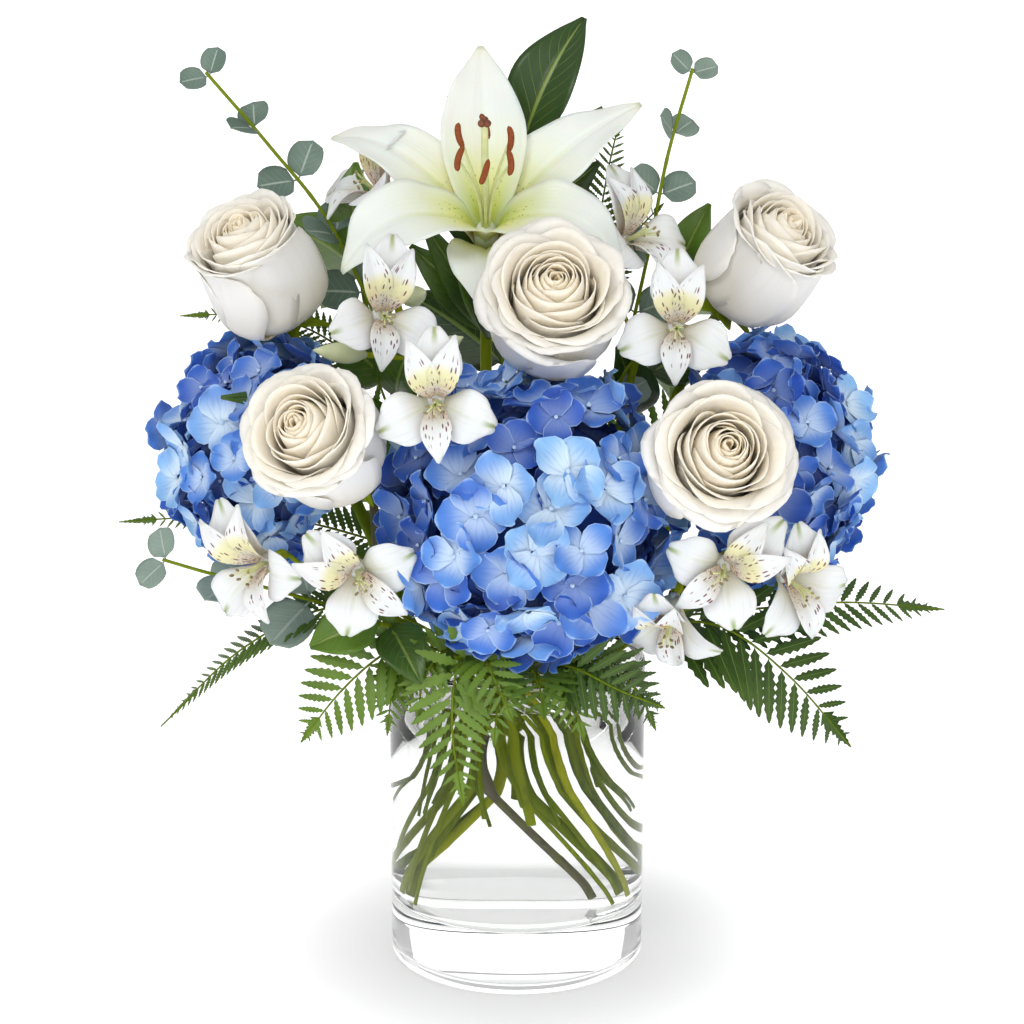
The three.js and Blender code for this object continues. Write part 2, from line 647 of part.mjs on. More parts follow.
// Six anthers on their filaments round the longer pistil
function lilyStamens(grow = 0) {
  const low = 16 + CLEARANCE;
  const line = (points, radius, sides) => tube(points.map(vec), radius, sides, grow);
  const pistil = line([[0, 0, low], [0, 2, 50], [0, 4, 78]], 1.4, 5);
  const stigma = ball([0, 4.2, 79], [2.8, 2.8, 1.8], 5, 3, grow);
  const solids = [pistil, stigma];
  for (const k of range(6)) {
    const angle = rad(60 * k + 30);
    const spot = (r, z) => [r * Math.cos(angle), r * Math.sin(angle), z];
    const tip = 66 + 3 * jitter(k, 7);
    solids.push(line([spot(1.4, low + 0.6), spot(6, 42), spot(13, tip)], 0.75, 3));
    const [x, y, z] = spot(14, tip);
    solids.push(line([[x, y - 1, z - 6], [x, y + 0.4, z], [x, y - 1, z + 6]], 1.8, 4));
  }
  return join(solids).transform(lilyFrame().elements);
}

// ---------------------------------------------------------------- alstroemeria
// Three broad outer tepals, and three narrow inner ones in front of them, two of which stand up
const BLOOM_TEPALS = [
  { angle: 90, inner: false }, { angle: 206, inner: false }, { angle: 334, inner: false },
  { angle: 123, inner: true }, { angle: 57, inner: true }, { angle: 270, inner: true },
];

function bloomTepal({ angle, inner }) {
  const around = rad(angle);
  const wide = inner ? BLOOM.innerWidth : BLOOM.outerWidth;
  const reach = BLOOM.length * (inner ? 0.84 : 0.94);
  return (u, v) => {
    const r = (inner ? 1.2 : 2.6) + reach * (0.4 * v + 0.6 * v * v);
    const opened = Math.sin((Math.PI / 2) * Math.min(1, 1.3 * v));
    const z = (inner ? -9 : -12) + 21 * opened - (inner ? 0 : 3) * v * v;
    const half = 0.7 + wide * Math.sin(Math.PI * Math.min(0.9, 0.04 + 0.8 * v)) ** 1.1;
    const lift = (inner ? 0.24 : 0.1) * half * u * u;
    return spokePoint(around, r, half * u, z + lift);
  };
}

function bloomSolid(bloom, grow = 0) {
  const frame = frameAt(bloom.at, bloom.azimuth, bloom.elevation, bloom.roll);
  const tepals = BLOOM_TEPALS.map((tepal) => blade(bloomTepal(tepal), [-1, 1], [0, 0.55, 1], 0.9, grow));
  const throat = turned([[0, -14 - grow], [2.4 + grow, -14 - grow], [4.6 + grow, -8], [0, -4 + grow]], 5);
  return join([...tepals, throat]).transform(frame.elements);
}

// A thick body between two ends, widest at `waist` of its length
function spindle(from, to, waist, radius, grow) {
  const away = new THREE.Vector3().subVectors(to, from);
  const length = away.length();
  const body = turned([[0, -grow], [radius + grow, waist * length], [0, length + grow]], 5);
  const turn = new THREE.Quaternion().setFromUnitVectors(new THREE.Vector3(0, 0, 1), away.normalize());
  return body.transform(new THREE.Matrix4().compose(from, turn, new THREE.Vector3(1, 1, 1)).elements);
}

// The green part of a spray: its stem, and a stalk to each bloom's ovary and each bud
function sprayStem(spray, stem, grow = 0) {
  const umbel = vec(spray.umbel);
  const solids = [stemTube(stem, grow)];
  for (const bloom of spray.blooms) {
    const axis = heading(bloom.azimuth, bloom.elevation);
    const neck = vec(bloom.at).addScaledVector(axis, -14 - CLEARANCE);
    const behind = neck.clone().addScaledVector(axis, -8);
    const halfway = umbel.clone().lerp(behind, 0.5).add(new THREE.Vector3(0, 0, -3));
    solids.push(tube([umbel, halfway, behind, neck], BLOOM.stalk, 4, grow));
    solids.push(spindle(behind, neck, 0.6, 3, grow));
  }
  for (const bud of spray.buds) {
    const tip = vec(bud.at);
    const root = tip.clone().addScaledVector(tip.clone().sub(umbel).normalize(), -bud.length);
    solids.push(tube([umbel, root.clone().lerp(tip, 0.1)], BLOOM.stalk, 4, grow));
    solids.push(spindle(root, tip, 0.6, 5, grow));
  }
  return join(solids);
}

// ---------------------------------------------------------------- foliage
// A leaf from `root` to `tip` that faces `face` and bows towards it
function leafBlade({ root, tip, width, face, bow }, grow = 0) {
  const along = new THREE.Vector3().subVectors(tip, root);
  const normal = vec(face).addScaledVector(along, -vec(face).dot(along) / along.lengthSq()).normalize();
  const side = new THREE.Vector3().crossVectors(along, normal).normalize();
  const surface = (u, v) => {
    const half = 0.7 + width * Math.sin(Math.PI * v ** 0.8) ** 0.8 * smooth(v / 0.2);
    return root
      .clone()
      .addScaledVector(along, v)
      .addScaledVector(normal, bow * 4 * v * (1 - v) + 0.22 * half * u * u)
      .addScaledVector(side, half * u);
  };
  return blade(surface, [-1, 0, 1], [0, 0.28, 0.62, 0.98], 0.9, grow);
}

function leafyStem({ leaves }, stem, grow = 0) {
  const way = new Polyline(stem.way);
  const blades = leaves.map((leaf) => {
    return leafBlade({ ...leaf, root: way.getPoint(leaf.from), tip: vec(leaf.tip) }, grow);
  });
  return join([stemTube(stem, grow), ...blades]);
}

// A round leaf's outline, in shares of its length
const ROUND_LEAF = [[0.02, -0.03], [0.5, -0.5], [1, -0.17], [1, 0.17], [0.5, 0.5], [0.02, 0.03]];

// Eucalyptus: round leaves in pairs, each pair a quarter turn from the last, smaller towards the tip
function eucalyptusSpray({ leaf, pairs }, stem, grow = 0) {
  const way = new THREE.CatmullRomCurve3(stem.way);
  const solids = [stemTube(stem, grow)];
  for (const k of range(pairs)) {
    const t = 0.2 + (0.79 * k) / (pairs - 1);
    const [spot, along] = [way.getPointAt(t), way.getTangentAt(t)];
    const length = leaf * (1 - (0.42 * k) / pairs);
    for (const hand of [-1, 1]) {
      const aside = new THREE.Vector3(0, -1, 0.25).cross(along).normalize();
      aside.applyAxisAngle(along, rad(k % 2 ? 78 : 8) + 0.3 * jitter(k, 11 + hand)).multiplyScalar(hand);
      const out = aside.multiplyScalar(0.78).addScaledVector(along, 0.62).normalize();
      const normal = along.clone().addScaledVector(out, -along.dot(out)).normalize();
      const side = new THREE.Vector3().crossVectors(out, normal);
      const map = (a, b) => {
        const point = spot.clone().addScaledVector(out, a).addScaledVector(side, b);
        return { point: point.addScaledVector(normal, 0.5 - 5 * (a / length - 0.4) ** 2), normal };
      };
      solids.push(plate(ROUND_LEAF.map(([a, b]) => [a * length, b * length]), map, 0.9, grow));
    }
  }
  return join(solids);
}

// The outline of a frond's blade along its rib: side fronds swept forward, cut down to the rib,
// and shorter towards the tip
function frondOutline(length, width, rows) {
  const rib = 1;
  const step = length / (rows + 0.7);
  const edge = (hand) =>
    range(rows).flatMap((k) => {
      const start = step * (k + (hand > 0 ? 0.1 : 0.35));
      const reach = width * (1 - 0.88 * (k / rows) ** 1.4) * (k ? 1 : 0.82);
      return [[start, hand * rib], [start + 0.45 * step + 0.5 * reach, hand * (reach + rib)]];
    });
  return [...edge(1), [length + 0.3 * width, 0], ...edge(-1).reverse()];
}

// The faces of that outline: each side frond, and a zigzag along the rib, so that none is long enough
// to leave the rib where it curves
function frondFaces(rows) {
  const tip = 2 * rows;
  const upper = (k) => (k < rows ? 2 * k : tip);
  const lower = (k) => (k < rows ? 4 * rows - 2 * k : tip);
  return range(rows).flatMap((k) => {
    const side = [[upper(k), upper(k + 1), upper(k) + 1], [lower(k), lower(k) - 1, lower(k + 1)]];
    const middle = [[lower(k), upper(k + 1), upper(k)], [lower(k), lower(k + 1), upper(k + 1)]];
    return [...side, ...(k < rows - 1 ? middle : middle.slice(0, 1))];
  });
}

// A frond: its stalk, and one thin blade cut into side fronds, which follows the rib's way
function frondSolid({ width, rows, face }, stem, grow = 0) {
  const way = new THREE.CatmullRomCurve3(stem.blade);
  const length = way.getLength() - 0.3 * width;
  const toward = vec(face);
  const map = (s, b) => {
    const t = clamp01(s / (length + 0.3 * width));
    const along = way.getTangentAt(t);
    const side = new THREE.Vector3().crossVectors(toward, along).normalize();
    const normal = new THREE.Vector3().crossVectors(along, side);
    const droop = -0.1 * Math.abs(b) + 0.5;
    return { point: way.getPointAt(t).addScaledVector(side, b).addScaledVector(normal, droop), normal };
  };
  const blade = plate(frondOutline(length, width, rows), map, 0.9, grow, frondFaces(rows));
  return join([stemTube(stem, grow), blade]);
}

// ---------------------------------------------------------------- stems
// A stem's rough way: its foot opposite to where it leads, past the others at the rim, and up to its end.
// The first `free` points may move, and the rest are fixed.
function roughStem(name, radius, foot, fixed) {
  const lead = fixed[0];
  const around = Math.atan2(lead.y, lead.x);
  const away = Math.min(1, Math.hypot(lead.x, lead.y) / 60);
  const low = (VASE.radius - VASE.wall - radius - 4) * (0.3 + 0.65 * away);
  const footPoint = new THREE.Vector3(-low * Math.cos(around), -low * Math.sin(around), foot);
  const pass = new THREE.Vector3(-WAIST * Math.sin(around), WAIST * Math.cos(around), RIM_LEVEL);
  pass.x += 0.3 * lead.x * away;
  pass.y += 0.3 * lead.y * away;
  const bends = (radius < THIN ? [0.5] : [0.34, 0.68]).map((share) => pass.clone().lerp(lead, share));
  return { name, radius, points: [footPoint, pass, ...bends, ...fixed], free: 2 + bends.length };
}

// Where two straight stretches come nearest, as shares of their lengths
function nearest(p1, q1, p2, q2) {
  const [d1, d2, r] = [q1.clone().sub(p1), q2.clone().sub(p2), p1.clone().sub(p2)];
  const [a, e, f, b, c] = [d1.dot(d1), d2.dot(d2), d2.dot(r), d1.dot(d2), d1.dot(r)];
  const denominator = a * e - b * b;
  let s = denominator > 1e-9 ? clamp01((b * f - c * e) / denominator) : 0;
  let t = (b * s + f) / e;
  if (t < 0 || t > 1) {
    t = clamp01(t);
    s = clamp01((b * t - c) / a);
  }
  return [s, t];
}

// Moves a stretch of a stem: its free ends take their shares of the shift, and the lower two stay level
function shiftStretch(stem, i, share, shift) {
  for (const [k, part] of [[i, 1 - share], [i + 1, share]]) {
    if (k >= stem.free) continue;
    stem.points[k].addScaledVector(shift, part);
    if (k < 2) stem.points[k].z -= shift.z * part;
  }
}

function pushApart(a, i, b, j, force) {
  const [p1, q1, p2, q2] = [a.points[i], a.points[i + 1], b.points[j], b.points[j + 1]];
  const need = a.radius + b.radius + CLEARANCE + 0.5;
  const beyond = (k, [p, q], [r, s]) => Math.min(p[k], q[k]) - need > Math.max(r[k], s[k]);
  if (["x", "y", "z"].some((k) => beyond(k, [p1, q1], [p2, q2]) || beyond(k, [p2, q2], [p1, q1]))) return;
  const [s, t] = nearest(p1, q1, p2, q2);
  const gap = p1.clone().lerp(q1, s).sub(p2.clone().lerp(q2, t));
  const lack = need - gap.length();
  if (lack <= 0) return;
  if (gap.lengthSq() < 1e-6) gap.set(jitter(i, j), jitter(j, i), 0);
  gap.setLength(lack * force);
  shiftStretch(a, i, s, gap);
  shiftStretch(b, j, t, gap.negate());
}

// How far a point is out from a bloom's middle, in shares of the bloom's own reach that way
function shareOut({ centre, axis, across, front, back }, point, margin) {
  const off = point.clone().sub(centre);
  const along = off.dot(axis);
  const aside = Math.sqrt(Math.max(0, off.lengthSq() - along * along));
  return Math.hypot(along / ((along < 0 ? back : front) + margin), aside / (across + margin));
}

function pushOffBloom(stem, i, bloom, force) {
  for (const share of [0.3, 0.6, 0.9]) {
    const point = stem.points[i].clone().lerp(stem.points[i + 1], share);
    const out = shareOut(bloom, point, stem.radius + 1);
    if (out >= 1) continue;
    const push = force * Math.min(1 / out - 1, 0.5);
    shiftStretch(stem, i, share, point.sub(bloom.centre).multiplyScalar(push));
  }
}

// Bends the free stretches of all stems until they are clear of each other, of the glass and of the blooms
function bendClear(stems) {
  const rounds = 300;
  for (const round of range(rounds)) {
    const force = 0.3 + (0.5 * round) / rounds;
    stems.forEach((a, n) => {
      for (const b of stems.slice(n + 1)) {
        for (const i of range(a.points.length - 1)) {
          for (const j of range(b.points.length - 1)) pushApart(a, i, b, j, force);
        }
      }
      for (const bloom of blooms.filter(({ owner }) => owner !== a.name)) {
        for (const i of range(a.points.length - 1)) pushOffBloom(a, i, bloom, force);
      }
      for (const k of [0, 1]) {
        const room = VASE.radius - VASE.wall - a.radius - (k ? 1 : 3.6);
        const { x, y, z } = a.points[k];
        const out = Math.hypot(x, y);
        if (out > room) a.points[k].set((x * room) / out, (y * room) / out, z);
      }
      if (round < 0.6 * rounds) {
        for (const k of range(a.free).slice(2)) {
          const middle = a.points[k - 1].clone().lerp(a.points[k + 1], 0.5);
          a.points[k].lerp(middle, 0.05);
        }
      }
    });
  }
}

const stemTube = ({ points, radius }, grow = 0) => tube(points, radius, radius < THIN ? 4 : 5, grow);

// ---------------------------------------------------------------- the bouquet
const stems = {};
const addStem = (name, radius, foot, fixed, more = {}) => {
  stems[name] = { ...roughStem(name, radius, foot, fixed), ...more };
};

// A bloom's stem comes straight into its back
const intoBloom = (end, axis) => [end.clone().addScaledVector(axis, -14), end];

for (const head of HYDRANGEAS) {
  const axis = heading(head.azimuth, head.elevation);
  const end = vec(head.at).addScaledVector(axis, -headBack(head));
  addStem("hydrangea_" + head.name, head.stem, head.foot, intoBloom(end, axis));
}
for (const rose of ROSES) {
  const axis = heading(rose.azimuth, rose.elevation);
  addStem("rose_" + rose.name, 2.5, rose.foot, intoBloom(roseBase(rose).addScaledVector(axis, -6), axis));
}
const lilyAxis = heading(LILY.azimuth, LILY.elevation);
addStem("lily", 3, LILY.foot, intoBloom(lilyRoot().addScaledVector(lilyAxis, -CLEARANCE), lilyAxis));
for (const spray of SPRAYS) addStem("alstroemeria_" + spray.name, 2.1, spray.foot, [vec(spray.umbel)]);
for (const [plant, list] of [["eucalyptus_", EUCALYPTUS], ["leaves_", LEAFY_STEMS]]) {
  for (const { name, way, foot } of list) {
    addStem(plant + name, 1.5, foot, way.map(vec), { way: way.map(vec) });
  }
}
for (const frond of FRONDS) {
  const blade = frond.way.map(vec);
  const intoBlade = blade[0].clone().lerp(blade[1], 0.3);
  addStem("fern_" + frond.name, 1.2, FERN_FOOT, [blade[0], intoBlade], { blade });
}

// The room of each bloom, which other stems and florets keep out of: its axis and its reach from its middle
const roundRoom = (owner, { at, azimuth, elevation }, radius) => ({
  owner,
  centre: vec(at),
  axis: heading(azimuth, elevation),
  across: radius,
  front: radius,
  back: radius,
});
const blooms = [
  ...HYDRANGEAS.map((head) => ({
    ...roundRoom("hydrangea_" + head.name, head, 1.1 * head.radius),
    front: 1.1 * head.depth,
    back: headBack(head),
  })),
  ...ROSES.map((rose) => roundRoom("rose_" + rose.name, rose, rose.radius)),
  roundRoom("lily", { ...LILY, at: LILY.throat }, 22),
  ...SPRAYS.flatMap(({ name, blooms: own }) => {
    return own.map((bloom) => roundRoom("alstroemeria_" + name, bloom, 19));
  }),
];
bendClear(Object.values(stems));

// Each piece by name and colour, with how to make it and the room that later pieces keep out of
const pieces = [];
const addPiece = (name, colour, make, room = () => make(CLEARANCE)) => {
  pieces.push({ name, colour, make: () => make(0), room });
};

addPiece("vase", "glass", vaseSolid);
for (const rose of ROSES) {
  addPiece(`rose_${rose.name}_bloom`, "white", () => roseBloom(rose), () => roseRoom(rose));
}
addPiece("lily_tepals", "lily", lilyTepals);
addPiece("lily_stamens", "stamen", lilyStamens);
for (const { name, blooms: own } of SPRAYS) {
  own.forEach((bloom, i) => {
    addPiece(`alstroemeria_${name}_bloom_${i + 1}`, "alstroemeria", (grow) => bloomSolid(bloom, grow));
  });
}
for (const head of HYDRANGEAS) {
  addPiece(`hydrangea_${head.name}_head`, "blue", () => hydrangeaHead(head), () => hydrangeaRoom(head));
}
for (const { name } of HYDRANGEAS) {
  addPiece(`hydrangea_${name}_stem`, "stem", (grow) => stemTube(stems["hydrangea_" + name], grow));
}
for (const rose of ROSES) {
  addPiece(`rose_${rose.name}_stem`, "stem", (grow) => roseStem(rose, stems["rose_" + rose.name], grow));
}
addPiece("lily_stem", "stem", (grow) => stemTube(stems.lily, grow));
for (const spray of SPRAYS) {
  const name = "alstroemeria_" + spray.name;
  addPiece(name + "_stem", "stem", (grow) => sprayStem(spray, stems[name], grow));
}
for (const spray of EUCALYPTUS) {
  const name = "eucalyptus_" + spray.name;
  addPiece(name, "eucalyptus", (grow) => eucalyptusSpray(spray, stems[name], grow));
}
for (const stem of LEAFY_STEMS) {
  const name = "leaves_" + stem.name;
  addPiece(name, "leaf", (grow) => leafyStem(stem, stems[name], grow));
}
for (const frond of FRONDS) {
  const name = "fern_" + frond.name;
  addPiece(name, "fern", (grow) => frondSolid(frond, stems[name], grow));
}
addPiece("water", "water", waterSolid);

const boxesMeet = (a, b) => [0, 1, 2].every((k) => a.min[k] <= b.max[k] && b.min[k] <= a.max[k]);

function largestBody(solid) {
  return solid.decompose().reduce((a, b) => (a.volume() >= b.volume() ? a : b));
}

// Cuts a solid clear of the rooms already taken, and keeps its largest body
function cutClear(solid, taken) {
  const near = taken.filter((room) => boxesMeet(room.boundingBox(), solid.boundingBox()));
  const cut = near.length ? solid.subtract(join(near)) : solid;
  return largestBody(largestBody(cut).asOriginal().simplify(SEAM));
}

function meshOf(solid, name, colour) {
  const { vertProperties, triVerts } = solid.getMesh();
  const geometry = new THREE.BufferGeometry();
  geometry.setAttribute("position", new THREE.BufferAttribute(vertProperties, 3));
  geometry.setIndex(new THREE.BufferAttribute(triVerts, 1));
  geometry.computeVertexNormals();
  const mesh = new THREE.Mesh(geometry, new THREE.MeshStandardMaterial(COLOURS[colour]));
  mesh.name = name;
  return mesh;
}

const bouquet = new THREE.Group();
const taken = [];
for (const { name, colour, make, room } of pieces) {
  bouquet.add(meshOf(cutClear(make(), taken), name, colour));
  taken.push(room());
}

export default bouquet;
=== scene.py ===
import math
import bpy
import numpy as np
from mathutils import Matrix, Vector


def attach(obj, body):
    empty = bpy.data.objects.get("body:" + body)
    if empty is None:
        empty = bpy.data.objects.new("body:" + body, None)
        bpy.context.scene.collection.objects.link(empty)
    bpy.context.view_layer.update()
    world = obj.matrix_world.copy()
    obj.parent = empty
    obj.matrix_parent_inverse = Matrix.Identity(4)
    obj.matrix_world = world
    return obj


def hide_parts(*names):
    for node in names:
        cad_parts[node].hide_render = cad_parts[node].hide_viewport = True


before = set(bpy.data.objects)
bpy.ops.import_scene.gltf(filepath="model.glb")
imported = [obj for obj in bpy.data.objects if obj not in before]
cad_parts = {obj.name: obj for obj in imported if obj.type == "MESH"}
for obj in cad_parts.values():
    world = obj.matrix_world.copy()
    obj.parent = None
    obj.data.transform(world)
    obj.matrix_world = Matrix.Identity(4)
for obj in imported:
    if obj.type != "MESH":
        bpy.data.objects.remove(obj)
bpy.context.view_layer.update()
mm = 0.001  # sizes and places below are in millimetres, and meshes are in metres


# small sums, directions and curves
def smooth(t):
    t = np.clip(t, 0, 1)
    return t * t * (3 - 2 * t)


def unit(vector):
    return vector / np.maximum(np.linalg.norm(vector, axis=-1, keepdims=True), 1e-9)


def heading(azimuth, elevation):
    # azimuth 0 faces the front, 90 the right, and elevation is above level
    a, e = math.radians(azimuth), math.radians(elevation)
    return np.array([math.sin(a) * math.cos(e), -math.cos(a) * math.cos(e), math.sin(e)])


def bloomPlace(at, azimuth, elevation, roll=0):
    # turns a bloom's own points, whose z is its axis and y its upper side, into the bouquet's
    axis = heading(azimuth, elevation)
    up = unit(np.array([0, 0, 1]) - axis * axis[2])
    side = np.cross(up, axis)
    c, s = math.cos(math.radians(roll)), math.sin(math.radians(roll))
    basis = np.array([side * c + up * s, up * c - side * s, axis])
    return lambda points: np.asarray(at, float) + np.asarray(points, float) @ basis


def spoke(angle, out, aside, high):
    # points that lie out along a direction, aside from it and above
    c, s = math.cos(angle), math.sin(angle)
    return np.stack([out * c - aside * s, out * s + aside * c, high], axis=-1)


def catmull(points, steps):
    # a smooth curve through the points, with this many steps to each stretch
    p = np.asarray(points, float)
    p = np.vstack([2 * p[0] - p[1], p, 2 * p[-1] - p[-2]])
    t = np.linspace(0, 1, steps, endpoint=False)[:, None]
    spans = []
    for a, b, c, d in zip(p, p[1:], p[2:], p[3:]):
        square, cube = 2 * a - 5 * b + 4 * c - d, 3 * b - a - 3 * c + d
        spans.append(0.5 * (2 * b + (c - a) * t + square * t**2 + cube * t**3))
    return np.vstack(spans + [p[-2:-1]])


def petalGrid(across, along):
    u = np.linspace(-1, 1, across)[:, None] * np.ones(along)
    v = np.ones(across)[:, None] * np.linspace(0, 1, along)
    return u, v


def chain(count, start=0):
    # the edges of a line of points
    return [(start + i, start + i + 1) for i in range(count - 1)]


def titled(name):
    return name.title().replace("_", "")


# meshes, gathered blade by blade
def newPiece():
    return {"points": [], "faces": [], "uv": [], "tone": [], "kind": [], "slots": [], "count": 0}


def addPart(piece, points, faces, uv, tone=0.5, kind=0, slot=0):
    piece["points"].append(points)
    piece["uv"].append(uv)
    piece["tone"].append(np.full(len(points), tone, float))
    piece["kind"].append(np.full(len(points), kind, float))
    piece["faces"] += [[i + piece["count"] for i in face] for face in faces]
    piece["slots"] += [slot] * len(faces)
    piece["count"] += len(points)


def gridFaces(across, along, start=0, turned=False):
    i, j = np.meshgrid(np.arange(across - 1), np.arange(along - 1), indexing="ij")
    a = (start + i * along + j).ravel()
    faces = np.stack([a, a + along, a + along + 1, a + 1], axis=1)
    return (faces[:, ::-1] if turned else faces).tolist()


def gridNormal(points):
    return unit(np.cross(np.gradient(points, axis=0), np.gradient(points, axis=1)))


def gridUv(u, v):
    # across the blade from 0 to 1, and along it from root to tip
    return np.stack([(u + 1) / 2, v], axis=2).reshape(-1, 2)


def addSheet(piece, points, u, v):
    # one open layer over a grid of points
    addPart(piece, points.reshape(-1, 3), gridFaces(*u.shape), gridUv(u, v))


def addBlade(piece, points, thick, tone=0.5, kind=0.0, place=None):
    # a closed thin blade round a grid of points, thinner at its edges
    across, along = points.shape[:2]
    u, v = petalGrid(across, along)
    half = 0.5 * thick * (1 - 0.6 * u**6)[..., None]
    normal = gridNormal(points)
    both = np.vstack([(points + normal * half).reshape(-1, 3), (points - normal * half).reshape(-1, 3)])
    under = across * along
    faces = gridFaces(across, along) + gridFaces(across, along, under, True)
    ring = [i * along for i in range(across)]
    ring += [(across - 1) * along + j for j in range(1, along)]
    ring += [i * along + along - 1 for i in range(across - 2, -1, -1)]
    ring += list(range(along - 2, 0, -1))
    faces += [[b, a, a + under, b + under] for a, b in zip(ring, ring[1:] + ring[:1])]
    uv = gridUv(u, v)
    addPart(piece, place(both) if place else both, faces, np.vstack([uv, uv]), tone, kind)


def addTube(piece, path, radii, sides=8, tone=0.5, slot=0, place=None):
    # a closed round tube along a path
    path = np.asarray(path, float)
    radii = np.broadcast_to(np.asarray(radii, float), len(path))
    along = unit(np.gradient(path, axis=0))
    side = unit(np.cross(along[0], [0.31, 0.62, 0.72]))
    rings = []
    for point, direction, radius in zip(path, along, radii):
        side = unit(side - direction * (side @ direction))
        up = np.cross(direction, side)
        turn = np.linspace(0, 2 * math.pi, sides, endpoint=False)[:, None]
        rings.append(point + radius * (np.cos(turn) * side + np.sin(turn) * up))
    count = len(path)
    points = np.vstack(rings + [path[:1], path[-1:]])
    faces = []
    for k in range(sides):
        near, far = k, (k + 1) % sides
        for low in range(0, (count - 1) * sides, sides):
            faces.append([low + near, low + far, low + sides + far, low + sides + near])
        faces.append([count * sides, far, near])
        faces.append([count * sides + 1, (count - 1) * sides + near, (count - 1) * sides + far])
    v = np.repeat(np.linspace(0, 1, count), sides)
    uv = np.vstack([np.stack([np.tile(np.arange(sides) / sides, count), v], axis=1), [[0.5, 0], [0.5, 1]]])
    addPart(piece, place(points) if place else points, faces, uv, tone, slot=slot)


def addSpindle(piece, profile, sides, tone, place):
    # a tube along the axis, from pairs of height and radius
    path = [[0, 0, height] for height, radius in profile]
    addTube(piece, path, [radius for height, radius in profile], sides, tone, place=place)


def addBall(piece, centre, axis, length, radius, sides=10, rings=8, tone=0.5, slot=0, place=None):
    # a closed egg along an axis
    t = np.linspace(0, math.pi, rings + 1)
    path = np.asarray(centre, float) - unit(np.asarray(axis, float)) * (0.5 * length * np.cos(t))[:, None]
    addTube(piece, path, np.maximum(radius * np.sin(t), 0.04 * radius), sides, tone, slot, place)


def meshObject(name, piece, materials):
    mesh = bpy.data.meshes.new(name)
    mesh.from_pydata((np.vstack(piece["points"]) * mm).tolist(), [], piece["faces"])
    corner = np.zeros(len(mesh.loops), int)
    mesh.loops.foreach_get("vertex_index", corner)
    mesh.uv_layers.new(name="UVMap").data.foreach_set("uv", np.vstack(piece["uv"])[corner].ravel())
    for label in ("tone", "kind"):
        mesh.attributes.new(label, "FLOAT", "POINT").data.foreach_set("value", np.concatenate(piece[label]))
    mesh.polygons.foreach_set("use_smooth", [True] * len(mesh.polygons))
    mesh.polygons.foreach_set("material_index", piece["slots"])
    for material in materials:
        mesh.materials.append(material)
    mesh.update()
    made = bpy.data.objects.new(name, mesh)
    bpy.context.scene.collection.objects.link(made)
    return made


def shapeObject(name, piece):
    # a shape of size 1, which a node tree scales to its real size
    piece["points"] = [np.vstack(piece["points"]) / mm]
    return meshObject(name, piece, [])


def pointObject(name, points, edges=(), **values):
    # bare points or lines that a node tree grows a mesh on
    mesh = bpy.data.meshes.new(name)
    mesh.from_pydata((np.asarray(points) * mm).tolist(), list(edges), [])
    for label, value in values.items():
        value = np.asarray(value, float)
        kind, field = ("FLOAT_VECTOR", "vector") if value.ndim == 2 else ("FLOAT", "value")
        mesh.attributes.new(label, kind, "POINT").data.foreach_set(field, value.ravel())
    made = bpy.data.objects.new(name, mesh)
    bpy.context.scene.collection.objects.link(made)
    return made


def setTone(made, tone):
    # one tone for a whole piece
    old = made.data.attributes.get("tone")
    values = old or made.data.attributes.new("tone", "FLOAT", "POINT")
    values.data.foreach_set("value", np.full(len(made.data.vertices), tone))


def joinInto(main, *others):
    # one mesh of several, with the first one's name
    with bpy.context.temp_override(active_object=main, selected_editable_objects=[main, *others]):
        bpy.ops.object.join()
    return main


def settle(piece, slot, *nodes):
    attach(piece, "root")
    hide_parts(*nodes)
    return piece


# node trees
def addNode(tree, kind, inputs=(), **settings):
    made = tree.nodes.new(kind)
    for key, value in settings.items():
        setattr(made, key, value)
    for key, value in dict(inputs).items():
        if isinstance(value, bpy.types.NodeSocket):
            tree.links.new(value, made.inputs[key])
        else:
            made.inputs[key].default_value = value
    return made


def mathNode(tree, operation, a, b=0.0, c=None, clamp=False):
    inputs = {0: a, 1: b} if c is None else {0: a, 1: b, 2: c}
    return addNode(tree, "ShaderNodeMath", inputs, operation=operation, use_clamp=clamp).outputs[0]


def vectorNode(tree, operation, a, b=(0, 0, 0), scale=None):
    inputs = {0: a} if operation in ("NORMALIZE", "SCALE", "LENGTH") else {0: a, 1: b}
    if scale is not None:
        inputs["Scale"] = scale
    made = addNode(tree, "ShaderNodeVectorMath", inputs, operation=operation)
    return made.outputs["Value" if operation == "LENGTH" else "Vector"]


def mapRange(tree, value, low, high, toLow=0.0, toHigh=1.0):
    inputs = {0: value, 1: low, 2: high, 3: toLow, 4: toHigh}
    return addNode(tree, "ShaderNodeMapRange", inputs, interpolation_type="SMOOTHSTEP").outputs[0]


def times(tree, first, *others):
    for other in others:
        first = mathNode(tree, "MULTIPLY", first, other)
    return first


def band(tree, value, start, full, fade, end):
    # rises from start to full, and falls again from fade to end
    return times(tree, mapRange(tree, value, start, full), mapRange(tree, value, end, fade))


def fromMiddle(tree, x):
    # 0 along the middle of a blade, and 1 at both its edges
    return mathNode(tree, "ABSOLUTE", mathNode(tree, "MULTIPLY_ADD", x, 2.0, -1.0))


def pointValue(tree, label, kind="FLOAT"):
    return addNode(tree, "GeometryNodeInputNamedAttribute", {"Name": label}, data_type=kind).outputs[0]


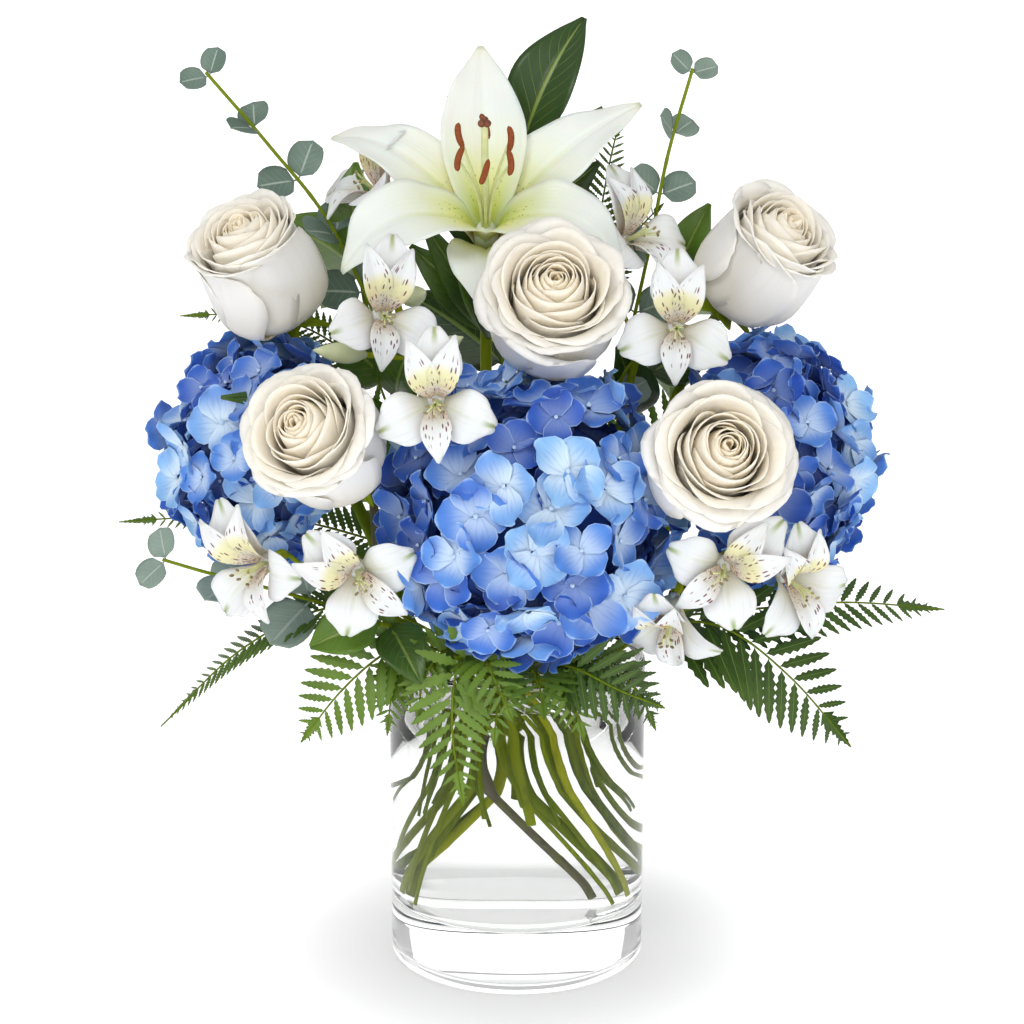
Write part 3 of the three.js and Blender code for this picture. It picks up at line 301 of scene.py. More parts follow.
def growthTree(name, inputs):
    tree = bpy.data.node_groups.new(name, "GeometryNodeTree")
    tree.interface.new_socket("Geometry", in_out="INPUT", socket_type="NodeSocketGeometry")
    tree.interface.new_socket("Geometry", in_out="OUTPUT", socket_type="NodeSocketGeometry")
    for label, kind in [*inputs, ("Material", "Material")]:
        tree.interface.new_socket(label, in_out="INPUT", socket_type="NodeSocket" + kind)
    return tree, tree.nodes.new("NodeGroupInput").outputs


def closeTree(tree, geometry, material):
    # every tree ends as one real mesh with its material
    real = addNode(tree, "GeometryNodeRealizeInstances", {"Geometry": geometry})
    shaded = addNode(tree, "GeometryNodeSetShadeSmooth", {"Geometry": real.outputs[0]})
    painted = addNode(tree, "GeometryNodeSetMaterial", {"Geometry": shaded.outputs[0], "Material": material})
    tree.links.new(painted.outputs[0], tree.nodes.new("NodeGroupOutput").inputs[0])


def grow(base, tree, **values):
    # runs a node tree on a base and leaves the plain mesh that it makes
    modifier = base.modifiers.new(tree.name, "NODES")
    modifier.node_group = tree
    for item in tree.interface.items_tree:
        key = item.name.replace(" ", "")
        if item.item_type == "SOCKET" and item.in_out == "INPUT" and key in values:
            modifier[item.identifier] = values.pop(key)
    assert not values, values
    graph = bpy.context.evaluated_depsgraph_get()
    grown = base.evaluated_get(graph)
    mesh = bpy.data.meshes.new_from_object(grown, preserve_all_data_layers=True, depsgraph=graph)
    base.modifiers.clear()
    base.data = mesh
    return base


def stemGrowth():
    # a round stem along each line, as thick as its points say, with small swellings at its joints
    sockets = [("Sides", "Int"), ("Step", "Float"), ("Swell", "Float"), ("Joint Gap", "Float")]
    tree, given = growthTree("stemGrowth", sockets)
    line = addNode(tree, "GeometryNodeMeshToCurve", {"Mesh": given["Geometry"]}).outputs[0]
    inputs = {"Curve": line, "Length": given["Step"]}
    line = addNode(tree, "GeometryNodeResampleCurve", inputs, mode="LENGTH").outputs[0]
    length = addNode(tree, "GeometryNodeSplineParameter").outputs["Length"]
    place = mathNode(tree, "FRACT", mathNode(tree, "DIVIDE", length, given["Joint Gap"]))
    joint = mapRange(tree, mathNode(tree, "ABSOLUTE", mathNode(tree, "SUBTRACT", place, 0.5)), 0.07, 0.0)
    swollen = mathNode(tree, "MULTIPLY_ADD", joint, given["Swell"], 1.0)
    radius = times(tree, pointValue(tree, "thick"), swollen)
    circle = addNode(tree, "GeometryNodeCurvePrimitiveCircle", {"Resolution": given["Sides"], "Radius": 1.0})
    inputs = {"Curve": line, "Profile Curve": circle.outputs[0], "Scale": radius, "Fill Caps": True}
    closeTree(tree, addNode(tree, "GeometryNodeCurveToMesh", inputs).outputs[0], given["Material"])
    return tree


def floretGrowth():
    # one floret of a collection on each point, turned to face the way its point says
    sockets = [("Florets", "Collection"), ("Size", "Float"), ("Smallest", "Float"), ("Largest", "Float")]
    tree, given = growthTree("floretGrowth", sockets + [("Tilt", "Float"), ("Seed", "Int")])
    seed = given["Seed"]
    shapes = addNode(tree, "GeometryNodeCollectionInfo", {"Collection": given["Florets"], 1: True, 2: True})
    facing, share = pointValue(tree, "facing", "FLOAT_VECTOR"), pointValue(tree, "share")
    turned = addNode(tree, "FunctionNodeAlignRotationToVector", {"Vector": facing}, axis="Z").outputs[0]
    most = addNode(tree, "ShaderNodeCombineXYZ", {0: given["Tilt"], 1: given["Tilt"], 2: math.pi}).outputs[0]
    least = vectorNode(tree, "SCALE", most, scale=-1.0)
    inputs = {0: least, 1: most, "Seed": seed}
    wobble = addNode(tree, "FunctionNodeRandomValue", inputs, data_type="FLOAT_VECTOR").outputs[0]
    inputs = {0: turned, 1: addNode(tree, "FunctionNodeEulerToRotation", {0: wobble}).outputs[0]}
    turned = addNode(tree, "FunctionNodeRotateRotation", inputs, rotation_space="LOCAL").outputs[0]
    inputs = {4: 0, 5: floretLook["shapes"] - 1, "Seed": seed}
    pick = addNode(tree, "FunctionNodeRandomValue", inputs, data_type="INT").outputs[2]
    inputs = {2: given["Smallest"], 3: given["Largest"], "Seed": seed}
    spread = addNode(tree, "FunctionNodeRandomValue", inputs, data_type="FLOAT").outputs[1]
    size = times(tree, given["Size"], share, spread)
    inputs = {0: given["Geometry"], 2: shapes.outputs[0], 3: True, 4: pick, 5: turned, 6: size}
    grown = addNode(tree, "GeometryNodeInstanceOnPoints", inputs).outputs[0]
    index = addNode(tree, "GeometryNodeInputIndex").outputs[0]
    shade = addNode(tree, "FunctionNodeRandomValue", {2: 0.0, 3: 1.0, "ID": index})
    # painted shade: florets of the layer below the outer one take a darker tone
    deep = mapRange(tree, share, floretLook["underShare"], 1.0, floretLook["underTone"], 1.0)
    inputs = {"Geometry": grown, "Name": "tone", "Value": times(tree, shade.outputs[1], deep)}
    grown = addNode(tree, "GeometryNodeStoreNamedAttribute", inputs, domain="INSTANCE").outputs[0]
    closeTree(tree, grown, given["Material"])
    return tree


def leafRow(tree, line, shape, given, hand, start, look):
    # leaves down one side of a line, each set off from it by its lean, smaller towards the tip
    trimmed = addNode(tree, "GeometryNodeTrimCurve", {"Curve": line, 2: start, 3: look["reach"]}).outputs[0]
    dots = addNode(tree, "GeometryNodeResampleCurve", {"Curve": trimmed, "Count": given["Rows"]}).outputs[0]
    along = addNode(tree, "GeometryNodeInputTangent").outputs[0]
    face = given["Facing"]
    side = vectorNode(tree, "NORMALIZE", vectorNode(tree, "CROSS_PRODUCT", face, along))
    share = addNode(tree, "GeometryNodeSplineParameter").outputs["Factor"]
    if "quarter" in look:
        odd = mathNode(tree, "MODULO", addNode(tree, "GeometryNodeInputIndex").outputs[0], 2.0)
        angle = mathNode(tree, "MULTIPLY_ADD", odd, math.radians(look["quarter"]), look["twist"])
        inputs = {"Vector": side, "Axis": along, "Angle": angle}
        side = addNode(tree, "ShaderNodeVectorRotate", inputs).outputs[0]
        face = vectorNode(tree, "ADD", face, vectorNode(tree, "SCALE", along, scale=look["ahead"]))
    out = vectorNode(tree, "SCALE", side, scale=times(tree, mathNode(tree, "COSINE", given["Lean"]), hand))
    forward = vectorNode(tree, "SCALE", along, scale=mathNode(tree, "SINE", given["Lean"]))
    axes = {0: vectorNode(tree, "ADD", out, forward), 1: face}
    turned = addNode(tree, "FunctionNodeAxesToRotation", axes, primary_axis="Y", secondary_axis="Z")
    taper = times(tree, mathNode(tree, "POWER", share, look["bow"]), look["taper"])
    scale = times(tree, given["Size"], mathNode(tree, "SUBTRACT", 1.0, taper))
    inputs = {0: dots, 2: shape, 5: turned.outputs[0], 6: scale}
    return addNode(tree, "GeometryNodeInstanceOnPoints", inputs).outputs[0]


def leafGrowth(name, look):
    # leaves down both sides of a line: in pairs that turn by a quarter, or the two sides half a step apart
    sockets = [("Shape", "Object"), ("Rows", "Int"), ("Size", "Float"), ("Lean", "Float")]
    tree, given = growthTree(name, sockets + [("Facing", "Vector")])
    shape = addNode(tree, "GeometryNodeObjectInfo", {0: given["Shape"], 1: True}).outputs["Geometry"]
    line = addNode(tree, "GeometryNodeMeshToCurve", {"Mesh": given["Geometry"]}).outputs[0]
    first = second = look["skip"]
    if "quarter" not in look:
        second = mathNode(tree, "ADD", mathNode(tree, "DIVIDE", 0.5, given["Rows"]), first)
    joined = addNode(tree, "GeometryNodeJoinGeometry")
    for hand, start in ((1.0, first), (-1.0, second)):
        tree.links.new(leafRow(tree, line, shape, given, hand, start, look), joined.inputs[0])
    closeTree(tree, joined.outputs[0], given["Material"])
    return tree


# materials
def ink(code):
    # a colour as it is seen, as the linear values that the shaders take
    rgb = [int(code[i : i + 2], 16) / 255 for i in (1, 3, 5)]
    return [c / 12.92 if c <= 0.04045 else ((c + 0.055) / 1.055) ** 2.4 for c in rgb] + [1.0]


def newMaterial(name, **values):
    material = bpy.data.materials.new(name)
    material.use_nodes = True
    shader = material.node_tree.nodes["Principled BSDF"]
    for key, value in values.items():
        shader.inputs[key.replace("_", " ")].default_value = value
    return material, material.node_tree, shader


def blend(tree, share, under, over):
    inputs = {0: share, 6: under, 7: over}
    return addNode(tree, "ShaderNodeMix", inputs, data_type="RGBA", blend_type="MIX").outputs[2]


def tint(tree, body, share, colour):
    # lays a share of a colour over the body's own
    return blend(tree, share, body, ink(colour))


def ramp(tree, value, stops):
    made = addNode(tree, "ShaderNodeValToRGB", {0: value})
    for i, (place, colour) in enumerate(stops):
        stop = made.color_ramp.elements[i] if i < 2 else made.color_ramp.elements.new(place)
        stop.position = place
        stop.color = ink(colour)
    return made.outputs[0]


def readValue(tree, label):
    return addNode(tree, "ShaderNodeAttribute", attribute_name=label).outputs["Fac"]


def coordinates(tree, kind):
    return addNode(tree, "ShaderNodeTexCoord").outputs[kind]


def readUv(tree):
    flat = addNode(tree, "ShaderNodeSeparateXYZ", {0: coordinates(tree, "UV")})
    return flat.outputs[0], flat.outputs[1]


def stretched(tree, x, y, across, along):
    inputs = {0: times(tree, x, across), 1: times(tree, y, along)}
    return addNode(tree, "ShaderNodeCombineXYZ", inputs).outputs[0]


def noise(tree, scale, detail, vector=None):
    if vector is None:
        vector = coordinates(tree, "Object")
    inputs = {"Vector": vector, "Scale": scale, "Detail": detail}
    return addNode(tree, "ShaderNodeTexNoise", inputs).outputs[0]


def bump(tree, shader, height, strength, distance):
    made = addNode(tree, "ShaderNodeBump", {"Strength": strength, "Distance": distance, "Height": height})
    tree.links.new(made.outputs[0], shader.inputs["Normal"])


def veinsOf(tree, x, y, count):
    # fine lines that run the length of a petal
    return noise(tree, 1.0, 2.0, stretched(tree, x, y, count, 1.4))


def painted(material, shader, body, height, strength, depth=0.0005):
    # the end of every painted material: its colour and its fine relief
    material.node_tree.links.new(body, shader.inputs["Base Color"])
    bump(material.node_tree, shader, height, strength, depth)
    return material


def floretMaterial():
    material, tree, shader = newMaterial("hydrangeaFloret", Roughness=0.62, Specular_IOR_Level=0.3)
    x, y = readUv(tree)
    tone = readValue(tree, "tone")
    edge = fromMiddle(tree, x)
    body = ramp(tree, tone, [(0.0, "#2750ae"), (0.3, "#3869c8"), (0.65, "#5a90de"), (1.0, "#8fbfee")])
    cloud = noise(tree, 22.0, 2.0)
    body = tint(tree, body, mapRange(tree, cloud, 0.48, 0.72, 0, 0.4), "#6681d4")
    pale = times(tree, mapRange(tree, y, 0.8, 0.1), mapRange(tree, tone, 0.1, 0.9, 0.2, 0.85))
    body = tint(tree, body, pale, "#dff0fa")
    # a paler rim round each sepal: partly the sepal's own paler edge, partly a painted highlight
    rim = mapRange(tree, mathNode(tree, "MAXIMUM", edge, y), 0.9, 1.0, 0, 0.6)
    body = tint(tree, body, rim, "#bcdaf6")
    veins = veinsOf(tree, x, y, 11.0)
    body = tint(tree, body, mapRange(tree, veins, 0.5, 0.66, 0, 0.22), "#3c6ac4")
    body = tint(tree, body, mathNode(tree, "LESS_THAN", y, 0.0), "#c3dcf6")  # the bead in the middle
    return painted(material, shader, body, veins, 0.35, 0.0006)


def rosePetalMaterial():
    glow = dict(Subsurface_Weight=0.25, Subsurface_Scale=0.008, Subsurface_Radius=(1.0, 0.8, 0.45))
    material, tree, shader = newMaterial("rosePetal", Roughness=0.55, Specular_IOR_Level=0.3, **glow)
    x, y = readUv(tree)
    tone = readValue(tree, "tone")
    body = ramp(tree, tone, [(0.0, "#fef0d2"), (0.35, "#fef5e2"), (0.7, "#fdf8ec"), (1.0, "#fcf9f1")])
    # a yellower, slightly darker petal base: partly the petal's own cream base, partly a painted warm shade
    # in the recesses between petals
    body = tint(tree, body, mapRange(tree, y, 0.75, 0.1, 0, 0.6), "#f7e3ae")
    veins = veinsOf(tree, x, y, 18.0)
    body = tint(tree, body, mapRange(tree, veins, 0.5, 0.7, 0, 0.1), "#e8dcbc")
    spots = noise(tree, 90.0, 4.0)
    body = tint(tree, body, mapRange(tree, spots, 0.6, 0.8, 0, 0.12), "#f1e8d0")
    return painted(material, shader, body, veins, 0.2)


def lilyTepalMaterial():
    glow = dict(Subsurface_Weight=0.2, Subsurface_Scale=0.006)
    material, tree, shader = newMaterial("lilyTepal", Roughness=0.5, Specular_IOR_Level=0.35, **glow)
    x, y = readUv(tree)
    middle = fromMiddle(tree, x)
    throat = [(0.0, "#aebf4e"), (0.2, "#cfd86c"), (0.34, "#e8eaa2")]
    body = ramp(tree, y, throat + [(0.5, "#f0f1dc"), (0.66, "#eff0ea"), (1.0, "#edeee8")])
    body = tint(tree, body, times(tree, mapRange(tree, middle, 0.35, 1.0), 0.6), "#eeefe8")
    groove = times(tree, mapRange(tree, middle, 0.13, 0.0), mapRange(tree, y, 0.75, 0.25))
    body = tint(tree, body, times(tree, groove, 0.6), "#d3da84")
    inputs = {"Vector": stretched(tree, x, y, 17.0, 44.0), "Scale": 1.0}
    cells = addNode(tree, "ShaderNodeTexVoronoi", inputs)
    zone = times(tree, band(tree, y, 0.17, 0.24, 0.33, 0.42), mapRange(tree, middle, 0.6, 0.4))
    body = tint(tree, body, times(tree, mapRange(tree, cells.outputs[0], 0.3, 0.18), zone, 0.7), "#7f8c2c")
    veins = veinsOf(tree, x, y, 20.0)
    body = tint(tree, body, mapRange(tree, veins, 0.52, 0.7, 0, 0.14), "#dfe3c4")
    body = tint(tree, body, mapRange(tree, y, 0.92, 1.0, 0, 0.4), "#e3e8b8")
    return painted(material, shader, body, veins, 0.3, 0.0007)


def alstroemeriaMaterial():
    # kind 0 is an outer tepal, 0.5 the lower inner one, and 1 the two upper inner ones
    glow = dict(Subsurface_Weight=0.15, Subsurface_Scale=0.005)
    material, tree, shader = newMaterial("alstroemeriaTepal", Roughness=0.5, Specular_IOR_Level=0.35, **glow)
    x, y = readUv(tree)
    kind = readValue(tree, "kind")
    middle = fromMiddle(tree, x)
    outer = mathNode(tree, "LESS_THAN", kind, 0.25)
    inner = mathNode(tree, "SUBTRACT", 1.0, outer)
    upper = mathNode(tree, "GREATER_THAN", kind, 0.75)
    body = ramp(tree, y, [(0.0, "#c4c296"), (0.25, "#e4e2d6"), (0.6, "#ebe9ea"), (1.0, "#e7e7e6")])
    veins = veinsOf(tree, x, y, 14.0)
    body = tint(tree, body, mapRange(tree, veins, 0.5, 0.68, 0, 0.2), "#cbc6cc")
    tip = times(tree, mapRange(tree, y, 0.78, 0.97), mapRange(tree, middle, 0.22, 0.04))
    body = tint(tree, body, times(tree, tip, outer, 0.85), "#8fa45a")
    keel = times(tree, mapRange(tree, middle, 0.16, 0.0), mapRange(tree, y, 0.95, 0.3))
    body = tint(tree, body, times(tree, keel, outer, 0.3), "#c9cf9e")
    flash = band(tree, y, 0.28, 0.42, 0.56, 0.72)
    body = tint(tree, body, times(tree, flash, upper, 0.7), "#e6dc96")
    blush = times(tree, mapRange(tree, y, 0.55, 0.15), inner)
    body = tint(tree, body, times(tree, blush, 0.6), "#d9bfae")
    specks = times(tree, mapRange(tree, noise(tree, 900.0, 2.0), 0.54, 0.62), blush)
    body = tint(tree, body, times(tree, specks, 0.75), "#8d5a60")
    shift = addNode(tree, "ShaderNodeCombineXYZ", {0: kind, 1: readValue(tree, "tone"), 2: 0.0}).outputs[0]
    shift = vectorNode(tree, "SCALE", shift, scale=9.0)  # other dashes on each tepal
    dashes = vectorNode(tree, "ADD", stretched(tree, x, y, 11.0, 7.0), shift)
    cells = addNode(tree, "ShaderNodeTexVoronoi", {"Vector": dashes, "Scale": 1.0, "Randomness": 0.6})
    dash = mapRange(tree, cells.outputs[0], 0.36, 0.24)
    zone = times(tree, band(tree, y, 0.14, 0.24, 0.72, 0.86), inner, mapRange(tree, middle, 0.12, 0.3))
    body = tint(tree, body, times(tree, dash, zone, 0.92), "#5e1f30")
    return painted(material, shader, body, veins, 0.3)


def stemMaterial():
    # tone runs from fresh yellow green, through deep green, to the brown of a woody stem
    material, tree, shader = newMaterial("greenStem", Roughness=0.6, Specular_IOR_Level=0.06)
    tone = readValue(tree, "tone")
    body = ramp(tree, tone, [(0.0, "#a8ac20"), (0.35, "#7f901a"), (0.7, "#4a6210"), (1.0, "#6f675b")])
    inputs = {"Vector": coordinates(tree, "Object"), "Scale": (420, 420, 26)}
    fibres = noise(tree, 1.0, 3.0, addNode(tree, "ShaderNodeMapping", inputs).outputs[0])
    body = tint(tree, body, mapRange(tree, fibres, 0.4, 0.7, 0, 0.35), "#86942a")
    spots = noise(tree, 160.0, 4.0)
    body = tint(tree, body, mapRange(tree, spots, 0.6, 0.72, 0, 0.35), "#4b4a2a")
    return painted(material, shader, body, fibres, 0.4)


def leafMaterial(name, dark, light, vein, rough, sideVeins, gloss):
    material, tree, shader = newMaterial(name, Roughness=rough, Specular_IOR_Level=gloss)
    x, y = readUv(tree)
    tone = readValue(tree, "tone")
    middle = fromMiddle(tree, x)
    shade = mathNode(tree, "MULTIPLY_ADD", tone, 0.8, -0.25)
    patch = mathNode(tree, "MULTIPLY_ADD", noise(tree, 38.0, 3.0), 0.7, shade)
    body = blend(tree, mapRange(tree, patch, 0.2, 0.9), ink(dark), ink(light))
    slant = mathNode(tree, "MULTIPLY_ADD", middle, -0.32, y)
    wave = mathNode(tree, "ABSOLUTE", mathNode(tree, "SINE", times(tree, slant, sideVeins * math.pi)))
    side = times(tree, mapRange(tree, wave, 0.2, 0.0), mapRange(tree, middle, 1.0, 0.3))
    body = tint(tree, body, times(tree, side, 0.4), vein)
    rib = mapRange(tree, middle, 0.09, 0.02)
    body = tint(tree, body, times(tree, rib, 0.75), vein)
    grain = times(tree, noise(tree, 500.0, 2.0), 0.3)
    relief = mathNode(tree, "ADD", mathNode(tree, "MAXIMUM", side, rib), grain)
    return painted(material, shader, body, relief, 0.35, 0.0006)


def simpleMaterial(name, dark, light, grain, rough, relief=0.3):
    # a small part: two shades, mottled, with a fine grain
    material, tree, shader = newMaterial(name, Roughness=rough, Specular_IOR_Level=0.35)
    mottle = noise(tree, grain, 4.0)
    shade = mathNode(tree, "MULTIPLY_ADD", mottle, 1.0, -0.35)
    mixed = mathNode(tree, "MULTIPLY_ADD", readValue(tree, "tone"), 0.7, shade, clamp=True)
    return painted(material, shader, blend(tree, mixed, ink(dark), ink(light)), mottle, relief)


clearLook = dict(gloss=0.25, tint=0.12, waviness=0.025, waveDepth=0.001, shadow="#fbfbfb")


def clearMaterial(name, colour, ior, waves):
    # clear glass or water, which lets the lights' shadows through
    gloss = dict(Specular_IOR_Level=clearLook["gloss"], Specular_Tint=[clearLook["tint"]] * 3 + [1])
    body = dict(Roughness=0.0, IOR=ior, Transmission_Weight=1.0, Base_Color=ink(colour))
    material, tree, shader = newMaterial(name, **body, **gloss)
    bump(tree, shader, noise(tree, waves, 2.0), clearLook["waviness"], clearLook["waveDepth"])
    rays = addNode(tree, "ShaderNodeLightPath").outputs["Is Shadow Ray"]
    through = addNode(tree, "ShaderNodeBsdfTransparent", {0: ink(clearLook["shadow"])}).outputs[0]
    mixed = addNode(tree, "ShaderNodeMixShader", {0: rays, 1: shader.outputs[0], 2: through})
    tree.links.new(mixed.outputs[0], tree.nodes["Material Output"].inputs[0])
    return material


leafLooks = dict(
    broadLeaf=dict(dark="#27440c", light="#5b7d20", vein="#8a9f48", rough=0.34, sideVeins=9, gloss=0.45),
    fernLeaf=dict(dark="#324e0e", light="#688726", vein="#6f8e34", rough=0.42, sideVeins=5, gloss=0.4),
    eucalyptusLeaf=dict(dark="#5f7468", light="#9fb0a3", vein="#b6c4b8", rough=0.62, sideVeins=6, gloss=0.3),
)
smallParts = dict(
    filament=dict(dark="#c3cc78", light="#eef0c6", grain=260.0, rough=0.45),
    anther=dict(dark="#6a2e14", light="#a5592c", grain=900.0, rough=0.85, relief=0.8),
    stigma=dict(dark="#5c2416", light="#8c5a3a", grain=600.0, rough=0.4),
    smallAnther=dict(dark="#6a5a3e", light="#a99c74", grain=900.0, rough=0.8),
    flowerBud=dict(dark="#7f9a3c", light="#e4e6c4", grain=70.0, rough=0.5),
)


floretBlue = floretMaterial()
rosePetalWhite = rosePetalMaterial()
lilyWhite = lilyTepalMaterial()
alstroemeriaWhite = alstroemeriaMaterial()
stemGreen = stemMaterial()
leafGreen, fernGreen, eucalyptusGrey = [leafMaterial(name, **look) for name, look in leafLooks.items()]
small = {name: simpleMaterial(name, **look) for name, look in smallParts.items()}
clearGlass = clearMaterial("clearGlass", "#fefefe", 1.47, 12.0)
clearWater = clearMaterial("clearWater", "#fcfdfc", 1.33, 30.0)
print("materials made")

# the vase and its water
vase = dict(radius=63.5, height=152.4, wall=4.2, floor=30, foot=2.5, lip=1.6, corner=3, sides=128)
vase["recess"] = [[0, 1.2], [44, 1.2], [50, 0.8], [52, 0]]  # under the foot: radius and height
vase["dish"] = [[40, -0.4], [20, -1.2], [0, -1.2]]  # the dip inside, from the height of the floor
vase["rings"] = [60, 100, 140]  # heights on the straight wall where it has points
water = dict(top=138, bite=0.15, below=0.15)
water["meniscus"] = [[0, 1.6], [0.8, 0.7], [2.5, 0.15], [6, 0]]  # how far from the glass, and how high


def arc(centre, radius, start, end, steps=6):
    # points of a round corner, with its angles in degrees
    turn = np.radians(np.linspace(start, end, steps))
    return (np.array(centre) + radius * np.stack([np.cos(turn), np.sin(turn)], axis=1)).tolist()


def turnedShape(profile, sides):
    # a closed turned shape from [radius, height] pairs that start and end on the axis
    piece = newPiece()
    ring = np.linspace(0, 2 * math.pi, sides, endpoint=False)
    radii, heights = np.array(profile[1:-1]).T[..., None]
    around = [radii * np.cos(ring), radii * np.sin(ring), heights * np.ones(sides)]
    last = len(radii) * sides
    ends = [[0, 0, profile[0][1]], [0, 0, profile[-1][1]]]
    points = np.vstack([np.stack(around, axis=2).reshape(-1, 3), ends])
    faces = []
    for k in range(sides):
        after = (k + 1) % sides
        for low in range(0, last - sides, sides):
            faces.append([low + k, low + after, low + sides + after, low + sides + k])
        faces += [[last, after, k], [last + 1, last - sides + k, last - sides + after]]
    addPart(piece, points, faces, np.zeros((len(points), 2)))
    return piece


def makeVase():
    outer, inner, lip, foot = vase["radius"], vase["radius"] - vase["wall"], vase["lip"], vase["foot"]
    top, floor, corner = vase["height"], vase["floor"], vase["corner"]
    profile = vase["recess"] + arc([outer - foot, foot], foot, -90, 0)
    profile += [[outer, height] for height in [10, 30, *vase["rings"]]]
    profile += arc([outer - lip, top - lip], lip, 0, 90, 4) + arc([inner + lip, top - lip], lip, 90, 180, 4)
    profile += [[inner, height] for height in [*vase["rings"][::-1], floor + 8]]
    profile += arc([inner - corner, floor + corner], corner, 0, -80, 4)
    profile += [[radius, floor + dip] for radius, dip in vase["dish"]]
    glass = meshObject("glassVase", turnedShape(profile, vase["sides"]), [clearGlass])
    return settle(glass, "glass", "vase")


def makeWater():
    # the water bites a little into the glass, so that no air shows between them
    radius, corner = vase["radius"] - vase["wall"] + water["bite"], vase["corner"]
    top, low = water["top"], vase["floor"] - water["below"]
    profile = [[reach, low + dip] for reach, dip in vase["dish"][::-1]]
    profile += arc([radius - corner, low + corner], corner, -80, 0, 4)
    profile += [[radius, height] for height in vase["rings"][:2]]
    profile += [[radius - inward, top + rise] for inward, rise in water["meniscus"]] + [[0, top]]
    made = meshObject("vaseWater", turnedShape(profile, vase["sides"]), [clearWater])
    return settle(made, "water", "water")


makeVase()
makeWater()
print("vase and water made")

# hydrangeas
hydrangeas = dict(
    front=dict(at=[6, -52, 233], azimuth=0, elevation=14, radius=63, depth=48, florets=92, stem=3.4),
    left=dict(at=[-122, -3, 254], azimuth=-62, elevation=12, radius=51, depth=42, florets=80, stem=3.2),
    right=dict(at=[121, 2, 251], azimuth=62, elevation=12, radius=57, depth=44, florets=86, stem=3.2),
)
floretLook = dict(radius=15.4, smallest=0.78, largest=1.14, tilt=0.6, shapes=4, seed=7)
floretLook.update(bare=40, jitter=0.035)  # bare underside in degrees, and how unevenly the florets stand out
floretLook.update(under=0.83, underCount=0.6, underShare=0.9, underTone=0.3)  # the layer below the outer one, whose florets get a darker tone as a painted shade
headCore = dict(rise=0.1, length=1.2, radius=0.72, tone=0.1)  # a dark core that closes the gaps between florets, its dark tone a painted shade
roomFor = dict(rose=0.98, alstroemeria=15)  # where no floret grows: a share of the rose's radius, and mm
roses = dict(
    upper_left=dict(at=[-120, -17, 342], azimuth=-28, elevation=52, radius=34, height=62, turn=10, open=0.3),
    lower_left=dict(at=[-88, -78, 271], azimuth=-22, elevation=28, radius=34, height=58, turn=40, open=0.8),
    centre=dict(at=[16, -46, 329], azimuth=3, elevation=34, radius=38, height=56, turn=0, open=0.9),
    upper_right=dict(at=[115, -6, 346], azimuth=38, elevation=44, radius=34, height=62, turn=25, open=0.35),
    lower_right=dict(at=[88, -83, 264], azimuth=8, elevation=24, radius=36, height=56, turn=65, open=0.9),
)
sprays = dict(  # a bloom: its place, azimuth, elevation and roll; a bud: its tip and its length
    upper_left=dict(
        umbel=[-58, 4, 326],
        blooms=[([-69, 14, 380], -55, 42, 0), ([-61, -49, 325], 14, 8, -8)],
        buds=[([-43, -22, 333], 22)],
    ),
    middle_left=dict(
        umbel=[-46, -28, 302],
        blooms=[([-36, -92, 291], 0, 2, 4)],
        buds=[([-93, -50, 309], 26), ([-25, -40, 314], 24)],
    ),
    upper_right=dict(
        umbel=[58, -6, 304],
        blooms=[([55, -2, 358], 38, 24, 10), ([72, -53, 320], -4, 6, -4)],
        buds=[],
    ),
    lower_left=dict(
        umbel=[-76, -34, 190],
        blooms=[([-119, -66, 212], -30, -4, 24), ([-72, -82, 211], 6, -8, 52)],
        buds=[],
    ),
    lower_right=dict(
        umbel=[82, -36, 186],
        blooms=[
            ([93, -82, 214], -6, -4, -50), ([127, -66, 204], 30, -14, 20), ([70, -66, 186], -20, -48, 0),
        ],
        buds=[],
    ),
)


def insideOther(points):
    # which points lie inside a rose or an alstroemeria bloom
    hit = np.zeros(len(points), bool)
    for rose in roses.values():
        hit |= np.linalg.norm(points - np.array(rose["at"]), axis=1) < roomFor["rose"] * rose["radius"]
    for spray in sprays.values():
        for at, azimuth, elevation, roll in spray["blooms"]:
            hit |= np.linalg.norm(points - np.array(at), axis=1) < roomFor["alstroemeria"]
    return hit


def floretShape(seed):
    # one floret of radius 1: four broad sepals, two of them under the other two, round a small bead
    rng = np.random.default_rng(seed)
    piece = newPiece()
    for k in range(4):
        u, v = petalGrid(5, 5)
        v = v**0.8
        length, low = 1 + 0.07 * rng.normal(), k % 2
        half = (0.57 + 0.03 * rng.normal()) * np.sin(np.pi * np.clip(0.05 + 0.87 * v**1.05, 0, 1)) ** 0.6
        out = 0.04 + length * v * (1 - 0.13 * u**2 * v)
        rise = 0.3 * v**1.3 - 0.07 * low - 0.1 * v**4 + (0.2 - 0.09 * low) * u**2 * v
        rise += rng.normal() * 0.08 * v**2
        rise += 0.035 * np.sin(3.0 * u + 5 * v + rng.uniform(0, 6))
        turn = math.radians(90 * k + rng.normal() * 4)
        aside = half * u
        addSheet(piece, spoke(turn, out, aside, rise), u, v)
    bead = [[0, 0, 0.17]] + [[x, y, 0.06] for x, y in arc([0, 0], 0.075, 0, 300)]
    faces = [[0, i + 1, (i + 1) % 6 + 1] for i in range(6)]
    addPart(piece, np.array(bead), faces, np.full((7, 2), -0.5))  # its UV is off the sepals, below 0
    return shapeObject(f"floret{seed}", piece)


def headPoints(head, count, share, rng):
    # spots spread evenly over a head, with the way that each one faces
    lowest = -math.cos(math.radians(floretLook["bare"]))
    i = np.arange(count)
    z = 1 - (i + 0.5) / count * (1 - lowest)
    ring = np.sqrt(1 - z * z)
    turn = i * math.pi * (3 - math.sqrt(5)) + rng.normal(0, 0.12, count)
    way = np.stack([ring * np.cos(turn), ring * np.sin(turn), z], axis=1)
    wide = np.full(count, head["radius"])
    reach = np.stack([wide, wide, np.where(z < 0, 0.5, 1.0) * head["depth"]], axis=1)
    spots = way * reach * share * (1 + rng.normal(0, floretLook["jitter"], count))[:, None]
    return spots, unit(way / reach)


